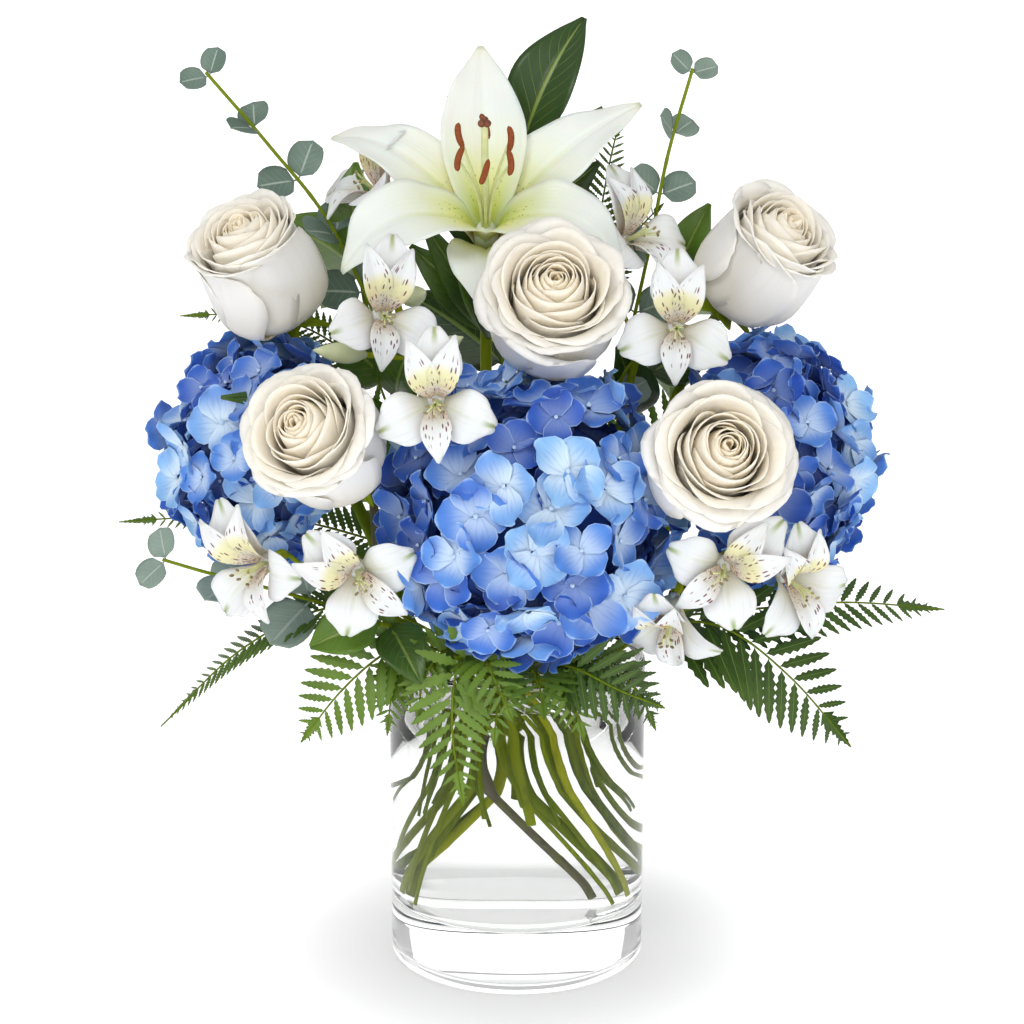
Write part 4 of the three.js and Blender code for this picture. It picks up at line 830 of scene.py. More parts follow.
def makeHydrangeas():
    tree = floretGrowth()
    florets = bpy.data.collections.new("floretShapes")
    bpy.context.scene.collection.children.link(florets)
    shapes = [floretShape(seed) for seed in range(floretLook["shapes"])]
    for shape in shapes:
        shape.data.attributes.remove(shape.data.attributes["tone"])  # each floret gets a tone of its own
        bpy.context.scene.collection.objects.unlink(shape)
        florets.objects.link(shape)
    for number, (name, head) in enumerate(hydrangeas.items()):
        rng = np.random.default_rng(floretLook["seed"] + number)
        place = bloomPlace(head["at"], head["azimuth"], head["elevation"])
        upper, upperFacing = headPoints(head, head["florets"], 1.0, rng)
        count = int(head["florets"] * floretLook["underCount"])
        under, underFacing = headPoints(head, count, floretLook["under"], rng)
        spots = place(np.vstack([upper, under]))
        facing = place(np.vstack([upperFacing, underFacing])) - np.array(head["at"])
        share = np.concatenate([np.ones(len(upper)), np.full(count, floretLook["underShare"])])
        kept = ~insideOther(spots)
        made = pointObject(f"hydrangea{titled(name)}", spots[kept], facing=facing[kept], share=share[kept])
        size = floretLook["radius"] * mm * (0.55 + 0.45 * head["radius"] / 60)  # smaller on a smaller head
        look = {key.title(): floretLook[key] for key in ("smallest", "largest", "tilt")}
        grow(made, tree, Florets=florets, Size=size, Seed=3 + number, Material=floretBlue, **look)
        core = newPiece()
        centre, length = [0, 0, headCore["rise"] * head["depth"]], headCore["length"] * head["depth"]
        radius = headCore["radius"] * head["radius"]
        addBall(core, centre, [0, 0, 1], length, radius, 28, 14, headCore["tone"], place=place)
        joinInto(made, meshObject("headCore", core, [floretBlue]))
        settle(made, "hydrangea_florets", f"hydrangea_{name}_head")
    for shape in shapes:
        bpy.data.objects.remove(shape)
    bpy.data.collections.remove(florets)


makeHydrangeas()
print("hydrangeas made")

# roses
roseLook = dict(petals=42, across=13, along=19, thick=0.5, golden=137.5, heart=0.05, full=0.8, seed=11)
# the closed heart and the cup under the petals, in shares of the height and the radius
roseBud = [[0.1, 0.1], [0.3, 0.13], [0.6, 0.1], [0.82, 0.07], [0.88, 0.03]]
roseCup = [[0.005, 0.2], [0.06, 0.42], [0.16, 0.62], [0.26, 0.6]]


def rosePetal(rose, share, turn, rng):
    # a petal rises from the cup along a bowl, then leans in at the heart or rolls back at the rim
    u, v = petalGrid(roseLook["across"], roseLook["along"])
    radius, height = rose["radius"], rose["height"]
    opened = rose["open"]
    reach = radius * (roseLook["heart"] + (roseLook["full"] - roseLook["heart"]) * share**0.78)
    tall = height * (1.0 - (0.04 + 0.24 * opened) * share**1.3) * (1 + 0.015 * rng.normal())
    wallLength = (tall - 0.33 * height) * (1.0 + 0.26 * opened * share)
    # the heart's petals lean together, and the outer ones roll back
    closing = np.degrees(np.arcsin(np.minimum(0.6, 1.25 * reach / wallLength)))
    lip = -closing * (1 - smooth(share / 0.62)) + (34 + 116 * opened) * smooth((share - 0.34) / 0.66)
    lip *= 1 + (0.12 + 0.12 * share) * rng.normal()
    steps = 64
    s = np.linspace(0, 1, steps)
    bend = 0.4
    turned = np.clip(s / bend, 0, 1) * np.pi / 2
    wall = np.clip((s - bend) / (1 - bend), 0, 1)
    edge = np.abs(u[:, :1])
    curl = 0.2 + 0.5 * share  # where along the wall the lip begins to turn
    inward = (24 - 24 * opened) * share + 6
    lean = np.radians(4 - inward * wall + lip * (0.8 + 0.5 * edge) * smooth((wall - curl) / (1 - curl)))
    step = wallLength / (steps * (1 - bend)) * (s > bend)
    r = reach * (0.14 + 0.86 * np.sin(turned)) + np.cumsum(np.sin(lean) * step, axis=1)
    z = height * (0.05 + 0.28 * (1 - np.cos(turned))) + np.cumsum(np.cos(lean) * step, axis=1)
    r = np.maximum(r, 0.03 * radius)
    at = v * (1 - (0.09 + 0.13 * share) * np.abs(u) ** 2.2)
    rows = range(len(u))
    out = np.array([np.interp(at[i], s, r[i]) for i in rows])
    rise = np.array([np.interp(at[i], s, z[i]) for i in rows])
    width = radius * (0.46 + 0.46 * share) * (0.34 + 0.66 * smooth(v / 0.72))
    width *= 1 - 0.14 * smooth((v - 0.8) / 0.2)
    angle = np.radians(turn) + u * np.minimum(width / np.maximum(out, 0.16 * radius), 2.1)
    phase = rng.uniform(0, 6, 3)
    ripple = np.sin(2.6 * u + phase[0]) * (0.3 + 1.1 * share) * v**3
    ripple += 0.5 * share * np.sin(7 * u + phase[1]) * v**5
    out = out * (1 + (0.05 + 0.045 * share) * u) + ripple
    rise = rise + (0.3 + 0.9 * share) * np.sin(3.6 * u + phase[2]) * v**3
    return np.stack([out * np.cos(angle), out * np.sin(angle), rise], axis=2)


def rosePlace(rose):
    # a rose's own points stand on the middle of its foot
    base = np.array(rose["at"]) - heading(rose["azimuth"], rose["elevation"]) * rose["height"] / 2
    return bloomPlace(base, rose["azimuth"], rose["elevation"])


def makeRose(name, rose, number):
    rng = np.random.default_rng(roseLook["seed"] + number)
    place = rosePlace(rose)
    piece = newPiece()
    count = roseLook["petals"]
    for k in range(count):
        share = k / (count - 1)
        turn = rose["turn"] + roseLook["golden"] * k + rng.normal(0, 7)
        addBlade(piece, rosePetal(rose, share, turn, rng), roseLook["thick"], share, place=place)
    size = [rose["height"], rose["radius"]]
    addSpindle(piece, np.array(roseBud) * size, 10, 0, place)
    addSpindle(piece, np.array(roseCup) * size, 18, 0.9, place)
    made = meshObject(f"rose{titled(name)}", piece, [rosePetalWhite])
    settle(made, "rose_petals", f"rose_{name}_bloom")


for number, (name, rose) in enumerate(roses.items()):
    makeRose(name, rose, number)
print("roses made")

# the lily
lily = dict(throat=[-15, 2, 367], azimuth=0, elevation=46, length=84, tube=22, thick=0.9)
lily.update(across=17, along=30, frill=1.7, seed=5)
lily["neck"] = [[0, 4.2], [4, 5.4], [10, 6.2], [15, 4.2], [17, 1.0]]  # height and radius
lilyTepals = [  # direction round the flower, half-width, how far the tip rolls back, share of the length
    dict(angle=92, width=16, roll=20, length=0.96, outer=False),
    dict(angle=32, width=14, roll=30, length=1.04, outer=True),
    dict(angle=-28, width=15, roll=105, length=0.98, outer=False),
    dict(angle=-90, width=14, roll=64, length=0.56, outer=True),
    dict(angle=-152, width=15, roll=95, length=1, outer=False),
    dict(angle=150, width=13, roll=66, length=1.04, outer=True),
]
lilyRoot = np.array(lily["throat"]) - heading(lily["azimuth"], lily["elevation"]) * lily["tube"]
lilyPlace = bloomPlace(lilyRoot, lily["azimuth"], lily["elevation"])


def lilyTepal(tepal, rng):
    u, v = petalGrid(lily["across"], lily["along"])
    steps = 60
    t = (np.arange(steps) + 0.5) / steps
    lean = np.radians(6 + 52 * smooth(t / 0.42) + tepal["roll"] * smooth((t - 0.4) / 0.62))
    reach = lily["length"] * tepal["length"] + lily["tube"]
    start = [4.4, -5] if tepal["outer"] else [2.6, 0]
    r = start[0] + np.concatenate([[0], np.cumsum(np.sin(lean))]) * reach / steps
    z = start[1] + np.concatenate([[0], np.cumsum(np.cos(lean))]) * reach / steps
    knots = np.linspace(0, 1, steps + 1)
    bent = np.interp(v, t, lean)
    out, high = np.interp(v, knots, r), np.interp(v, knots, z)
    wide = 1.26 * tepal["width"] * np.sin(np.pi * np.minimum(0.985, 0.02 + 0.955 * v**1.08)) ** 1.1 + 0.35
    lift = (0.42 - 0.4 * v) * wide * u**2
    lift -= 1.3 * np.exp(-((u / 0.13) ** 2)) * np.sin(np.pi * np.clip(v, 0, 1)) ** 0.5  # the groove
    phase = rng.uniform(0, 6, 2)
    frill = np.sin(10 * v + phase[0] + 1.5 * u) + 0.6 * np.sin(23 * v + phase[1] - 3 * u)
    frill = frill * u**2 * smooth((v - 0.25) / 0.3) * smooth((1 - v) / 0.2)
    lift += lily["frill"] * frill
    out, high = out - lift * np.cos(bent), high + lift * np.sin(bent)
    return spoke(math.radians(tepal["angle"]), out, wide * u, high)


def makeLily():
    rng = np.random.default_rng(lily["seed"])
    piece = newPiece()
    for tepal in lilyTepals:
        addBlade(piece, lilyTepal(tepal, rng), lily["thick"], rng.uniform(), place=lilyPlace)
    addSpindle(piece, lily["neck"], 16, 0.5, lilyPlace)
    settle(meshObject("lilyTepals", piece, [lilyWhite]), "lily_petals", "lily_tepals")
    heart = newPiece()
    pistil = catmull([[0, 0, 12], [0, 2, 50], [0, 4, 78]], 8)
    addTube(heart, pistil, np.linspace(1.9, 1.6, len(pistil)), 10, 0.6, place=lilyPlace)
    for turn in (90, 210, 330):
        a = math.radians(turn)
        lobe = [1.5 * math.cos(a), 4.2 + 1.5 * math.sin(a), 79]
        addBall(heart, lobe, [0, 0, 1], 3.6, 1.9, 10, 6, slot=2, place=lilyPlace)
    for k in range(6):
        a = math.radians(60 * k + 30)
        tip = 66 + 2.5 * math.sin(7.3 * k)
        path = spoke(a, np.array([1.4, 3.4, 7.5, 13.5]), 0, np.array([14, 34, 50, tip]))
        addTube(heart, catmull(path, 6), np.linspace(0.95, 0.6, 19), place=lilyPlace)
        tilt = 0.35 * math.sin(5 * k)
        swing = unit(np.array([math.sin(tilt), 0.7, 0.7 * math.cos(tilt)]))
        bow = np.array([math.cos(a), math.sin(a), 0.0])
        spot = spoke(a, np.array(14.0), 0, np.array(tip + 0.4))
        s = np.linspace(-1, 1, 13)
        anther = spot + swing * 6.0 * s[:, None] - bow * 1.6 * s[:, None] ** 2
        addTube(heart, anther, 1.55 * np.sqrt(np.maximum(0.02, 1 - s**4)), 10, slot=1, place=lilyPlace)
    made = meshObject("lilyStamens", heart, [small["filament"], small["anther"], small["stigma"]])
    settle(made, "stamens", "lily_stamens")


makeLily()
print("lily made")

# alstroemeria
alstroemeria = dict(length=30, outerWidth=11.4, innerWidth=6.2, thick=0.5, across=11, along=13, stalk=1.3)
alstroemeria.update(seed=20, neck=[[-14, 2.2], [-12, 3.2], [-8, 4.2], [-5, 2.5]])  # height and radius
alstroemeria.update(ovary=[9, 3], budRadius=5.0)  # length and radius
bloomTepals = [  # direction, kind and share of the length
    (90, 0.0, 1.1), (208, 0.0, 0.86), (332, 0.0, 0.86), (110, 1.0, 1.0), (70, 1.0, 1.0), (270, 0.5, 0.84),
]


def alstroemeriaTepal(angle, kind, share, rng):
    inner = kind > 0
    u, v = petalGrid(alstroemeria["across"], alstroemeria["along"])
    reach = alstroemeria["length"] * share * (1 + 0.03 * rng.normal())
    wide = alstroemeria["innerWidth"] if inner else alstroemeria["outerWidth"]
    at = v * (1 - (0.05 if inner else 0.06) * u**2)
    out = (1.2 if inner else 2.6) + reach * (0.4 * at + 0.6 * at * at)
    opened = np.sin(np.pi / 2 * np.minimum(1, 1.3 * at))
    high = (-9 if inner else -12) + 21 * opened - (2.4 if inner else 4 + 1.2 * rng.normal()) * at**3
    if inner:  # a narrow tepal, widest past its middle
        half = 0.7 + wide * np.sin(np.pi * np.minimum(0.97, 0.03 + 0.94 * v**1.25)) ** 0.9
    else:  # a paddle: a narrow claw that opens to a blunt round end
        claw = 0.24 + 0.76 * smooth((v - 0.08) / 0.5)
        half = 0.7 + wide * claw * np.sqrt(1 - np.clip((v - 0.6) / 0.44, 0, 1) ** 2.2)
    notch = 0 if inner else -(1.3 * np.exp(-((u / 0.2) ** 2)) + 2.4 * u**2) * smooth((v - 0.75) / 0.25)
    lift = (0.3 if inner else 0.13) * half * u**2 - 0.7 * np.exp(-((u / 0.2) ** 2)) * np.sin(np.pi * v)
    lift += 0.6 * np.sin(4 * u + 6 * v + rng.uniform(0, 6)) * v * np.abs(u)
    return spoke(math.radians(angle), out + notch, half * u, high + lift)


def alstroemeriaBloom(name, number, bloom, seed):
    rng = np.random.default_rng(seed)
    at, azimuth, elevation, roll = bloom
    place = bloomPlace(at, azimuth, elevation, roll)
    piece = newPiece()
    for angle, kind, share in bloomTepals:
        points = alstroemeriaTepal(angle + rng.normal(0, 3), kind, share, rng)
        addBlade(piece, points, alstroemeria["thick"], rng.uniform(), kind, place=place)
    addSpindle(piece, alstroemeria["neck"], 14, 0.5, place)
    for k in range(6):
        a = math.radians(60 * k + 200 + rng.normal(0, 8))
        far = 2.6 + 2.4 * rng.uniform()
        way = np.array([math.cos(a), math.sin(a), 0])
        tip = far * way + [0, -2, 11 + 2 * rng.normal()]
        path = catmull([0.6 * way + [0, 0, -6], 0.28 * far * way + [0, -1, 6], tip], 5)
        addTube(piece, path, np.linspace(0.5, 0.35, len(path)), 6, slot=1, place=place)
        addBall(piece, path[-1], [math.cos(a), 0.3, 0.6], 2.4, 0.7, 8, 6, rng.uniform(), slot=2, place=place)
    materials = [alstroemeriaWhite, small["filament"], small["smallAnther"]]
    made = meshObject(f"alstroemeria{titled(name)}{number}", piece, materials)
    settle(made, "alstroemeria_petals", f"alstroemeria_{name}_bloom_{number}")


seed = alstroemeria["seed"]
for name, spray in sprays.items():
    for number, bloom in enumerate(spray["blooms"], 1):
        alstroemeriaBloom(name, number, bloom, seed)
        seed += 1
print("alstroemeria made")

# stems, each along the middle of its solid in the frame
stemLook = dict(sides=10, step=3.0, swell=0.16, jointGap=46.0, foot=0.72)
stemLook.update(slice=7.0, near=8.0, cut=0.6, join=6)  # how the middle of a solid is followed
sepals = dict(count=5, stem=2.5, thick=0.7)
sepals["hip"] = [[-9, 3], [-7, 4.6], [-4, 6.2], [-1, 6.6], [1, 4]]  # height and radius
stemTree = stemGrowth()


def stemLine(node, top):
    # the middle of a stem's solid at even heights, from its foot up to `top`
    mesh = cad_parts[node].data
    co = np.empty(len(mesh.vertices) * 3)
    mesh.vertices.foreach_get("co", co)
    co = co.reshape(-1, 3) / mm
    ends = np.empty(len(mesh.edges) * 2, int)
    mesh.edges.foreach_get("vertices", ends)
    a, b = co[ends[0::2]], co[ends[1::2]]
    foot = co[:, 2].min()
    line = []
    for level in np.arange(foot + stemLook["cut"], top, stemLook["slice"]):
        across = (a[:, 2] - level) * (b[:, 2] - level) < 0
        if not across.any():
            break
        share = ((level - a[across, 2]) / (b[across, 2] - a[across, 2]))[:, None]
        cut = a[across] + share * (b[across] - a[across])
        if line:
            drift = line[-1] - line[-2] if len(line) > 1 else np.zeros(3)
            close = np.linalg.norm((cut - line[-1] - drift)[:, :2], axis=1) < stemLook["near"]
            if not close.any():
                break
            cut = cut[close]
        line.append((cut.min(0) + cut.max(0)) / 2)
    return line


def stemPath(node, after):
    # from the cut foot to the first of the fixed points, and on through them
    return np.vstack([*stemLine(node, after[0][2] - stemLook["join"]), *after])


def stemAlong(node, line):
    # from the cut foot to the start of a line, and on along it
    return np.vstack([stemPath(node, line[:1]), line[1:]])


def growStems(name, paths, tone):
    # paths are (points, radius at the foot, radius at the end)
    points, edges, thick, tones = [], [], [], []
    for path, foot, end in paths:
        start = len(points)
        points += list(path)
        edges += chain(len(path), start)
        thick += list(np.linspace(stemLook["foot"] * foot, end, len(path)) * mm)
        tones += [tone] * len(path)
    made = pointObject(name, points, edges, thick=thick, tone=tones, kind=np.zeros(len(points)))
    step, gap = stemLook["step"] * mm, stemLook["jointGap"] * mm
    look = dict(Sides=stemLook["sides"], Step=step, Swell=stemLook["swell"], JointGap=gap)
    return grow(made, stemTree, Material=stemGreen, **look)


def bloomEnd(at, azimuth, elevation, back, lead=14):
    axis = heading(azimuth, elevation)
    end = np.array(at, float) - axis * back
    return [end - axis * lead, end]


def hydrangeaStem(name, head):
    node = f"hydrangea_{name}_stem"
    path = stemPath(node, bloomEnd(head["at"], head["azimuth"], head["elevation"], 0.4 * head["depth"]))
    made = growStems(f"hydrangeaStem{titled(name)}", [(path, head["stem"], head["stem"])], 0.55)
    settle(made, "stems", node)


def sepalPoints(rose, k):
    u, v = petalGrid(5, 9)
    out = 4.5 + 0.5 * rose["radius"] * v
    rise = (6 if k % 2 else -7) * v**1.6 - 2.6
    aside = u * (4.8 * (1 - v) ** 0.8 * (0.6 + 0.4 * smooth(v / 0.2)) + 0.3)
    return spoke(math.radians(360 / sepals["count"] * k + 20), out, aside, rise + 0.6 * u**2)


def roseStem(name, rose, tone):
    node = f"rose_{name}_stem"
    back = rose["height"] / 2 + 5
    path = stemPath(node, bloomEnd(rose["at"], rose["azimuth"], rose["elevation"], back))
    made = growStems(f"roseStem{titled(name)}", [(path, sepals["stem"], sepals["stem"])], tone)
    place = rosePlace(rose)
    green = newPiece()
    addSpindle(green, sepals["hip"], 16, 0.3, place)
    for k in range(sepals["count"]):
        addBlade(green, sepalPoints(rose, k), sepals["thick"], 0.4, place=place)
    settle(joinInto(made, meshObject("sepals", green, [stemGreen])), "stems", node)


def lilyStem():
    ends = [lilyRoot - heading(lily["azimuth"], lily["elevation"]) * back for back in (14, -1)]
    settle(growStems("lilyStem", [(stemPath("lily_stem", ends), 3, 3)], 0.3), "stems", "lily_stem")


def sprayStem(name, spray, tone):
    node = f"alstroemeria_{name}_stem"
    stalk = alstroemeria["stalk"]
    umbel = np.array(spray["umbel"], float)
    paths = [(stemPath(node, [umbel]), 2.1, 2.0)]
    green = newPiece()
    for at, azimuth, elevation, roll in spray["blooms"]:
        behind, neck = bloomEnd(at, azimuth, elevation, 14, 8)
        halfway = (umbel + behind) / 2 - [0, 0, 3]
        paths.append((catmull([umbel, halfway, behind, neck], 5), stalk, stalk))
        middle, axis = (behind + neck) / 2, heading(azimuth, elevation)
        addBall(green, middle, axis, *alstroemeria["ovary"], tone=0.2)
    for tip, length in spray["buds"]:
        away = unit(np.array(tip, float) - umbel)
        root = tip - away * length
        paths.append((np.array([umbel, (umbel + root) / 2, root + 1.5 * away]), stalk, stalk))
        share = np.linspace(0, 1, 14)
        swell = alstroemeria["budRadius"] * np.sin(np.pi * np.clip(share, 0.03, 0.985) ** 0.8) ** 0.8
        addTube(green, root + away * (share * length)[:, None], np.maximum(swell, 0.3), 12, 0.7, slot=1)
    made = growStems(f"alstroemeriaStem{titled(name)}", paths, tone)
    settle(joinInto(made, meshObject("ovaries", green, [stemGreen, small["flowerBud"]])), "stems", node)


for name, head in hydrangeas.items():
    hydrangeaStem(name, head)
for number, (name, rose) in enumerate(roses.items()):
    roseStem(name, rose, 0.95 - 0.2 * number)  # the first one is woody
lilyStem()
for number, (name, spray) in enumerate(sprays.items()):
    sprayStem(name, spray, 0.1 + 0.12 * number)
print("stems made")

# eucalyptus
eucalyptus = dict(
    upper_left=dict(way=[[-62, 26, 300], [-90, 16, 362], [-118, 8, 400], [-146, 0, 434]], leaf=23, pairs=5),
    upper_right=dict(way=[[52, 26, 290], [64, 18, 350], [72, 13, 395], [83, 9, 436]], leaf=21, pairs=5),
    lower_left=dict(
        way=[[-84, -12, 178], [-118, -28, 192], [-148, -28, 200], [-170, -22, 205]],
        leaf=27, pairs=3,
    ),
    middle_right=dict(way=[[34, 2, 240], [46, -4, 272], [50, -12, 292], [60, -16, 306]], leaf=22, pairs=3),
)
sprigLook = dict(size=1.06, lean=30, facing=(0, -1, 0.25), skip=0.2, reach=0.985, taper=0.42, bow=1.2)
sprigLook.update(quarter=44, twist=0.2, ahead=0.45)  # how each pair turns from the last, and faces forward


def roundLeaf():
    # a round leaf of length 1 on a short stalk, along y and facing z
    piece = newPiece()
    u, v = petalGrid(9, 9)
    half = 0.45 * np.sqrt(np.maximum(0.0, 1 - (2 * v - 1) ** 2)) ** 0.8 + 0.012
    rise = 0.07 * (2 * u**2 * half) - 0.09 * (v - 0.4) ** 2 - 0.02 * np.exp(-((u / 0.1) ** 2))
    addBlade(piece, np.stack([half * u, 0.1 + 0.92 * v, rise], axis=2), 0.03, 0.5)
    addTube(piece, [[0, -0.02, 0], [0, 0.06, 0], [0, 0.14, -0.01]], 0.02, 6, 0.5)
    return shapeObject("roundLeaf", piece)


def makeEucalyptus():
    tree, shape = leafGrowth("sprigGrowth", sprigLook), roundLeaf()
    for number, (name, sprig) in enumerate(eucalyptus.items()):
        node = "eucalyptus_" + name
        line = catmull(sprig["way"], 10)
        leaves = pointObject("eucalyptus" + titled(name), line, chain(len(line)))
        size, lean = sprigLook["size"] * sprig["leaf"] * mm, math.radians(sprigLook["lean"])
        look = dict(Rows=sprig["pairs"], Size=size, Lean=lean, Facing=sprigLook["facing"])
        grow(leaves, tree, Shape=shape, Material=eucalyptusGrey, **look)
        setTone(leaves, 0.3 + 0.15 * number)
        stem = growStems("stalk", [(stemAlong(node, line), 1.5, 0.8)], 0.45)
        settle(joinInto(leaves, stem), "eucalyptus", node)
    bpy.data.objects.remove(shape)


makeEucalyptus()
print("eucalyptus made")

# broad leaves
leafLook = dict(thick=0.7, seed=60)
leafyStems = dict(  # each leaf: its share along the way, its tip, its width, the way it faces, and its bow
    top=dict(
        way=[[-2, 42, 300], [0, 40, 360], [2, 38, 398]],
        leaves=[
            (1, [33, 46, 461], 17, [-0.4, -1, 0.3], 8), (0.93, [-34, 44, 424], 8, [0.3, -1, 0], 6),
            (0.84, [42, 44, 418], 11, [0.5, -1, -0.1], 8), (0.7, [-38, 72, 392], 17, [-0.3, 1, 0.3], 8),
            (0.62, [36, 84, 382], 17, [0.3, 1, 0.3], 8), (0.4, [-40, 26, 372], 11, [-0.4, -1, 0.2], 5),
            (0.3, [-34, 12, 350], 11, [-0.3, -1, 0.2], 5), (0.3, [38, 20, 356], 12, [0.3, -1, 0.2], 5),
            (0.05, [-24, 0, 336], 10, [-0.1, -1, 0.2], 5), (0.5, [40, 30, 392], 10, [0.4, -1, 0.2], 4),
            (0.02, [-46, 6, 366], 9, [-0.4, -1, 0.2], 6), (0.08, [-52, 22, 352], 12, [-0.4, -1, 0.2], 6),
            (0.02, [-30, -8, 352], 9, [-0.2, -1, 0.2], 5), (0.06, [-14, 10, 352], 12, [0, -1, 0.2], 5),
        ],
    ),
    left=dict(
        way=[[-56, 20, 268], [-72, 24, 312], [-78, 28, 346]],
        leaves=[
            (1, [-78, 26, 392], 12, [-0.3, -1, 0.2], 6), (0.86, [-122, 52, 362], 16, [-0.4, 0.8, 0.5], 8),
            (0.5, [-100, 66, 318], 17, [-0.4, 0.9, 0.4], 8), (0.3, [-78, 72, 276], 17, [-0.4, 0.9, 0.3], 8),
            (0.1, [-48, -2, 312], 13, [-0.3, -1, 0.2], 6), (0, [-62, -24, 240], 12, [-0.3, -1, 0.2], 5),
            (0.2, [-88, -4, 316], 13, [-0.3, -1, 0.3], 5), (0, [-136, -48, 287], 8, [-0.2, -1, 0.5], 4),
        ],
    ),
    right=dict(
        way=[[56, 24, 262], [72, 30, 306], [80, 34, 340]],
        leaves=[
            (1, [94, 26, 372], 9, [0.2, -0.6, 0.8], 4), (0.86, [126, 52, 350], 16, [0.4, 0.8, 0.5], 8),
            (0.55, [104, 70, 314], 17, [0.4, 0.9, 0.4], 8), (0.3, [80, 74, 270], 17, [0.4, 0.9, 0.3], 8),
            (0.05, [48, -4, 306], 13, [0.2, -1, 0.2], 6), (0, [62, -30, 254], 12, [0.3, -1, 0.2], 5),
            (0.3, [98, 0, 316], 13, [0.3, -1, 0.3], 5),
        ],
    ),
    low_left=dict(
        way=[[-44, -38, 172], [-56, -48, 178], [-64, -56, 182]],
        leaves=[
            (1, [-96, -62, 172], 13, [-0.1, -0.8, 0.6], 5), (0.7, [-44, -80, 160], 11, [0.1, -1, 0.3], 4),
        ],
    ),
    back=dict(
        way=[[-4, 58, 240], [-6, 76, 276], [-8, 84, 304]],
        leaves=[
            (1, [-8, 96, 352], 18, [0, 1, 0.4], 7), (0.8, [44, 106, 318], 18, [0.3, 1, 0.4], 8),
            (0.7, [-58, 104, 322], 18, [-0.3, 1, 0.4], 8), (0.4, [38, 118, 268], 17, [0.2, 0.9, 0.5], 8),
            (0.3, [-40, 116, 264], 17, [-0.2, 0.9, 0.5], 8),
        ],
    ),
)


def leafPoints(root, tip, width, face, bow, rng):
    u, v = petalGrid(11, 19)
    along, face = np.array(tip, float) - root, np.array(face, float)
    normal = unit(face - along * (face @ along) / (along @ along))
    side = unit(np.cross(along, normal))
    half = 0.5 + width * np.sin(np.pi * np.clip(v, 0.0, 0.985) ** 0.82) ** 0.85 * smooth(v / 0.16)
    fold = 0.26 * half * np.abs(u) ** 1.3 + 0.7 * np.sin(11 * v + rng.uniform(0, 6)) * u**2
    height = bow * 4 * v * (1 - v) + fold - 0.7 * np.exp(-((u / 0.1) ** 2))
    return root + along * v[..., None] + normal * height[..., None] + side * (half * u)[..., None]


def makeLeafyStem(name, stem, number):
    rng = np.random.default_rng(leafLook["seed"] + number)
    node = "leaves_" + name
    way = np.array(stem["way"], float)
    piece = newPiece()
    for start, tip, width, face, bow in stem["leaves"]:
        place = start * (len(way) - 1)
        i = min(int(place), len(way) - 2)
        root = way[i] + (way[i + 1] - way[i]) * (place - i)
        points = leafPoints(root, tip, width, face, bow, rng)
        addBlade(piece, points, leafLook["thick"], rng.uniform(0.1, 0.9))
    made = meshObject("leaves" + titled(name), piece, [leafGreen])
    stalk = growStems("stalk", [(stemAlong(node, catmull(way, 5)), 1.6, 1.2)], 0.5)
    settle(joinInto(made, stalk), "broad_leaves", node)


for number, (name, stem) in enumerate(leafyStems.items()):
    makeLeafyStem(name, stem, number)
print("broad leaves made")

# fern
fronds = dict(  # each frond: its rib, its width and the way it faces
    right_low=([[66, -26, 176], [98, -40, 176], [130, -42, 152], [160, -40, 117]], 42, [0.1, -0.8, 0.5]),
    right_out=([[62, 0, 170], [108, -14, 178], [160, -10, 181], [211, 0, 175]], 34, [0, -0.6, 0.8]),
    left_low=([[-62, -12, 178], [-96, -22, 180], [-136, -18, 158], [-176, -10, 118]], 22, [-0.2, -0.4, 0.9]),
    left_front=(
        [[-46, -42, 168], [-62, -58, 168], [-82, -66, 152], [-101, -64, 127]], 32, [-0.2, -0.9, 0.3],
    ),
    front_left=([[-20, -50, 164], [-28, -70, 163], [-30, -74, 135], [-25, -72, 98]], 27, [0, -1, 0.1]),
    front_right=([[16, -52, 162], [28, -70, 164], [46, -76, 156], [68, -72, 146]], 26, [0.1, -0.95, 0.2]),
    upper_right=([[34, 28, 330], [40, 32, 362], [45, 34, 390], [51, 35, 416]], 17, [0.2, -1, 0.1]),
    left_high=([[-70, 14, 292], [-104, 22, 312], [-136, 24, 318], [-165, 20, 318]], 15, [0, -0.9, 0.4]),
    left_middle=([[-60, 30, 200], [-112, 38, 212], [-160, 32, 215], [-200, 25, 214]], 20, [0, -0.7, 0.7]),
    front_centre=([[6, -36, 157], [8, -56, 160], [10, -76, 158], [12, -97, 148]], 30, [0, -0.4, 1]),
    back_centre=([[2, 46, 180], [6, 74, 206], [8, 102, 210], [8, 126, 190]], 44, [0, 0.7, 0.7]),
    back_low_left=([[-44, 26, 166], [-72, 50, 184], [-96, 66, 180], [-118, 76, 158]], 38, [-0.4, 0.6, 0.7]),
    back_low_right=([[46, 26, 166], [74, 52, 182], [98, 68, 176], [118, 78, 152]], 38, [0.4, 0.6, 0.7]),
    back_left=([[-34, 50, 200], [-60, 78, 236], [-82, 98, 262], [-104, 106, 274]], 42, [-0.4, 0.8, 0.5]),
    back_right=([[40, 50, 200], [66, 78, 234], [88, 94, 258], [108, 100, 268]], 42, [0.4, 0.8, 0.5]),
)
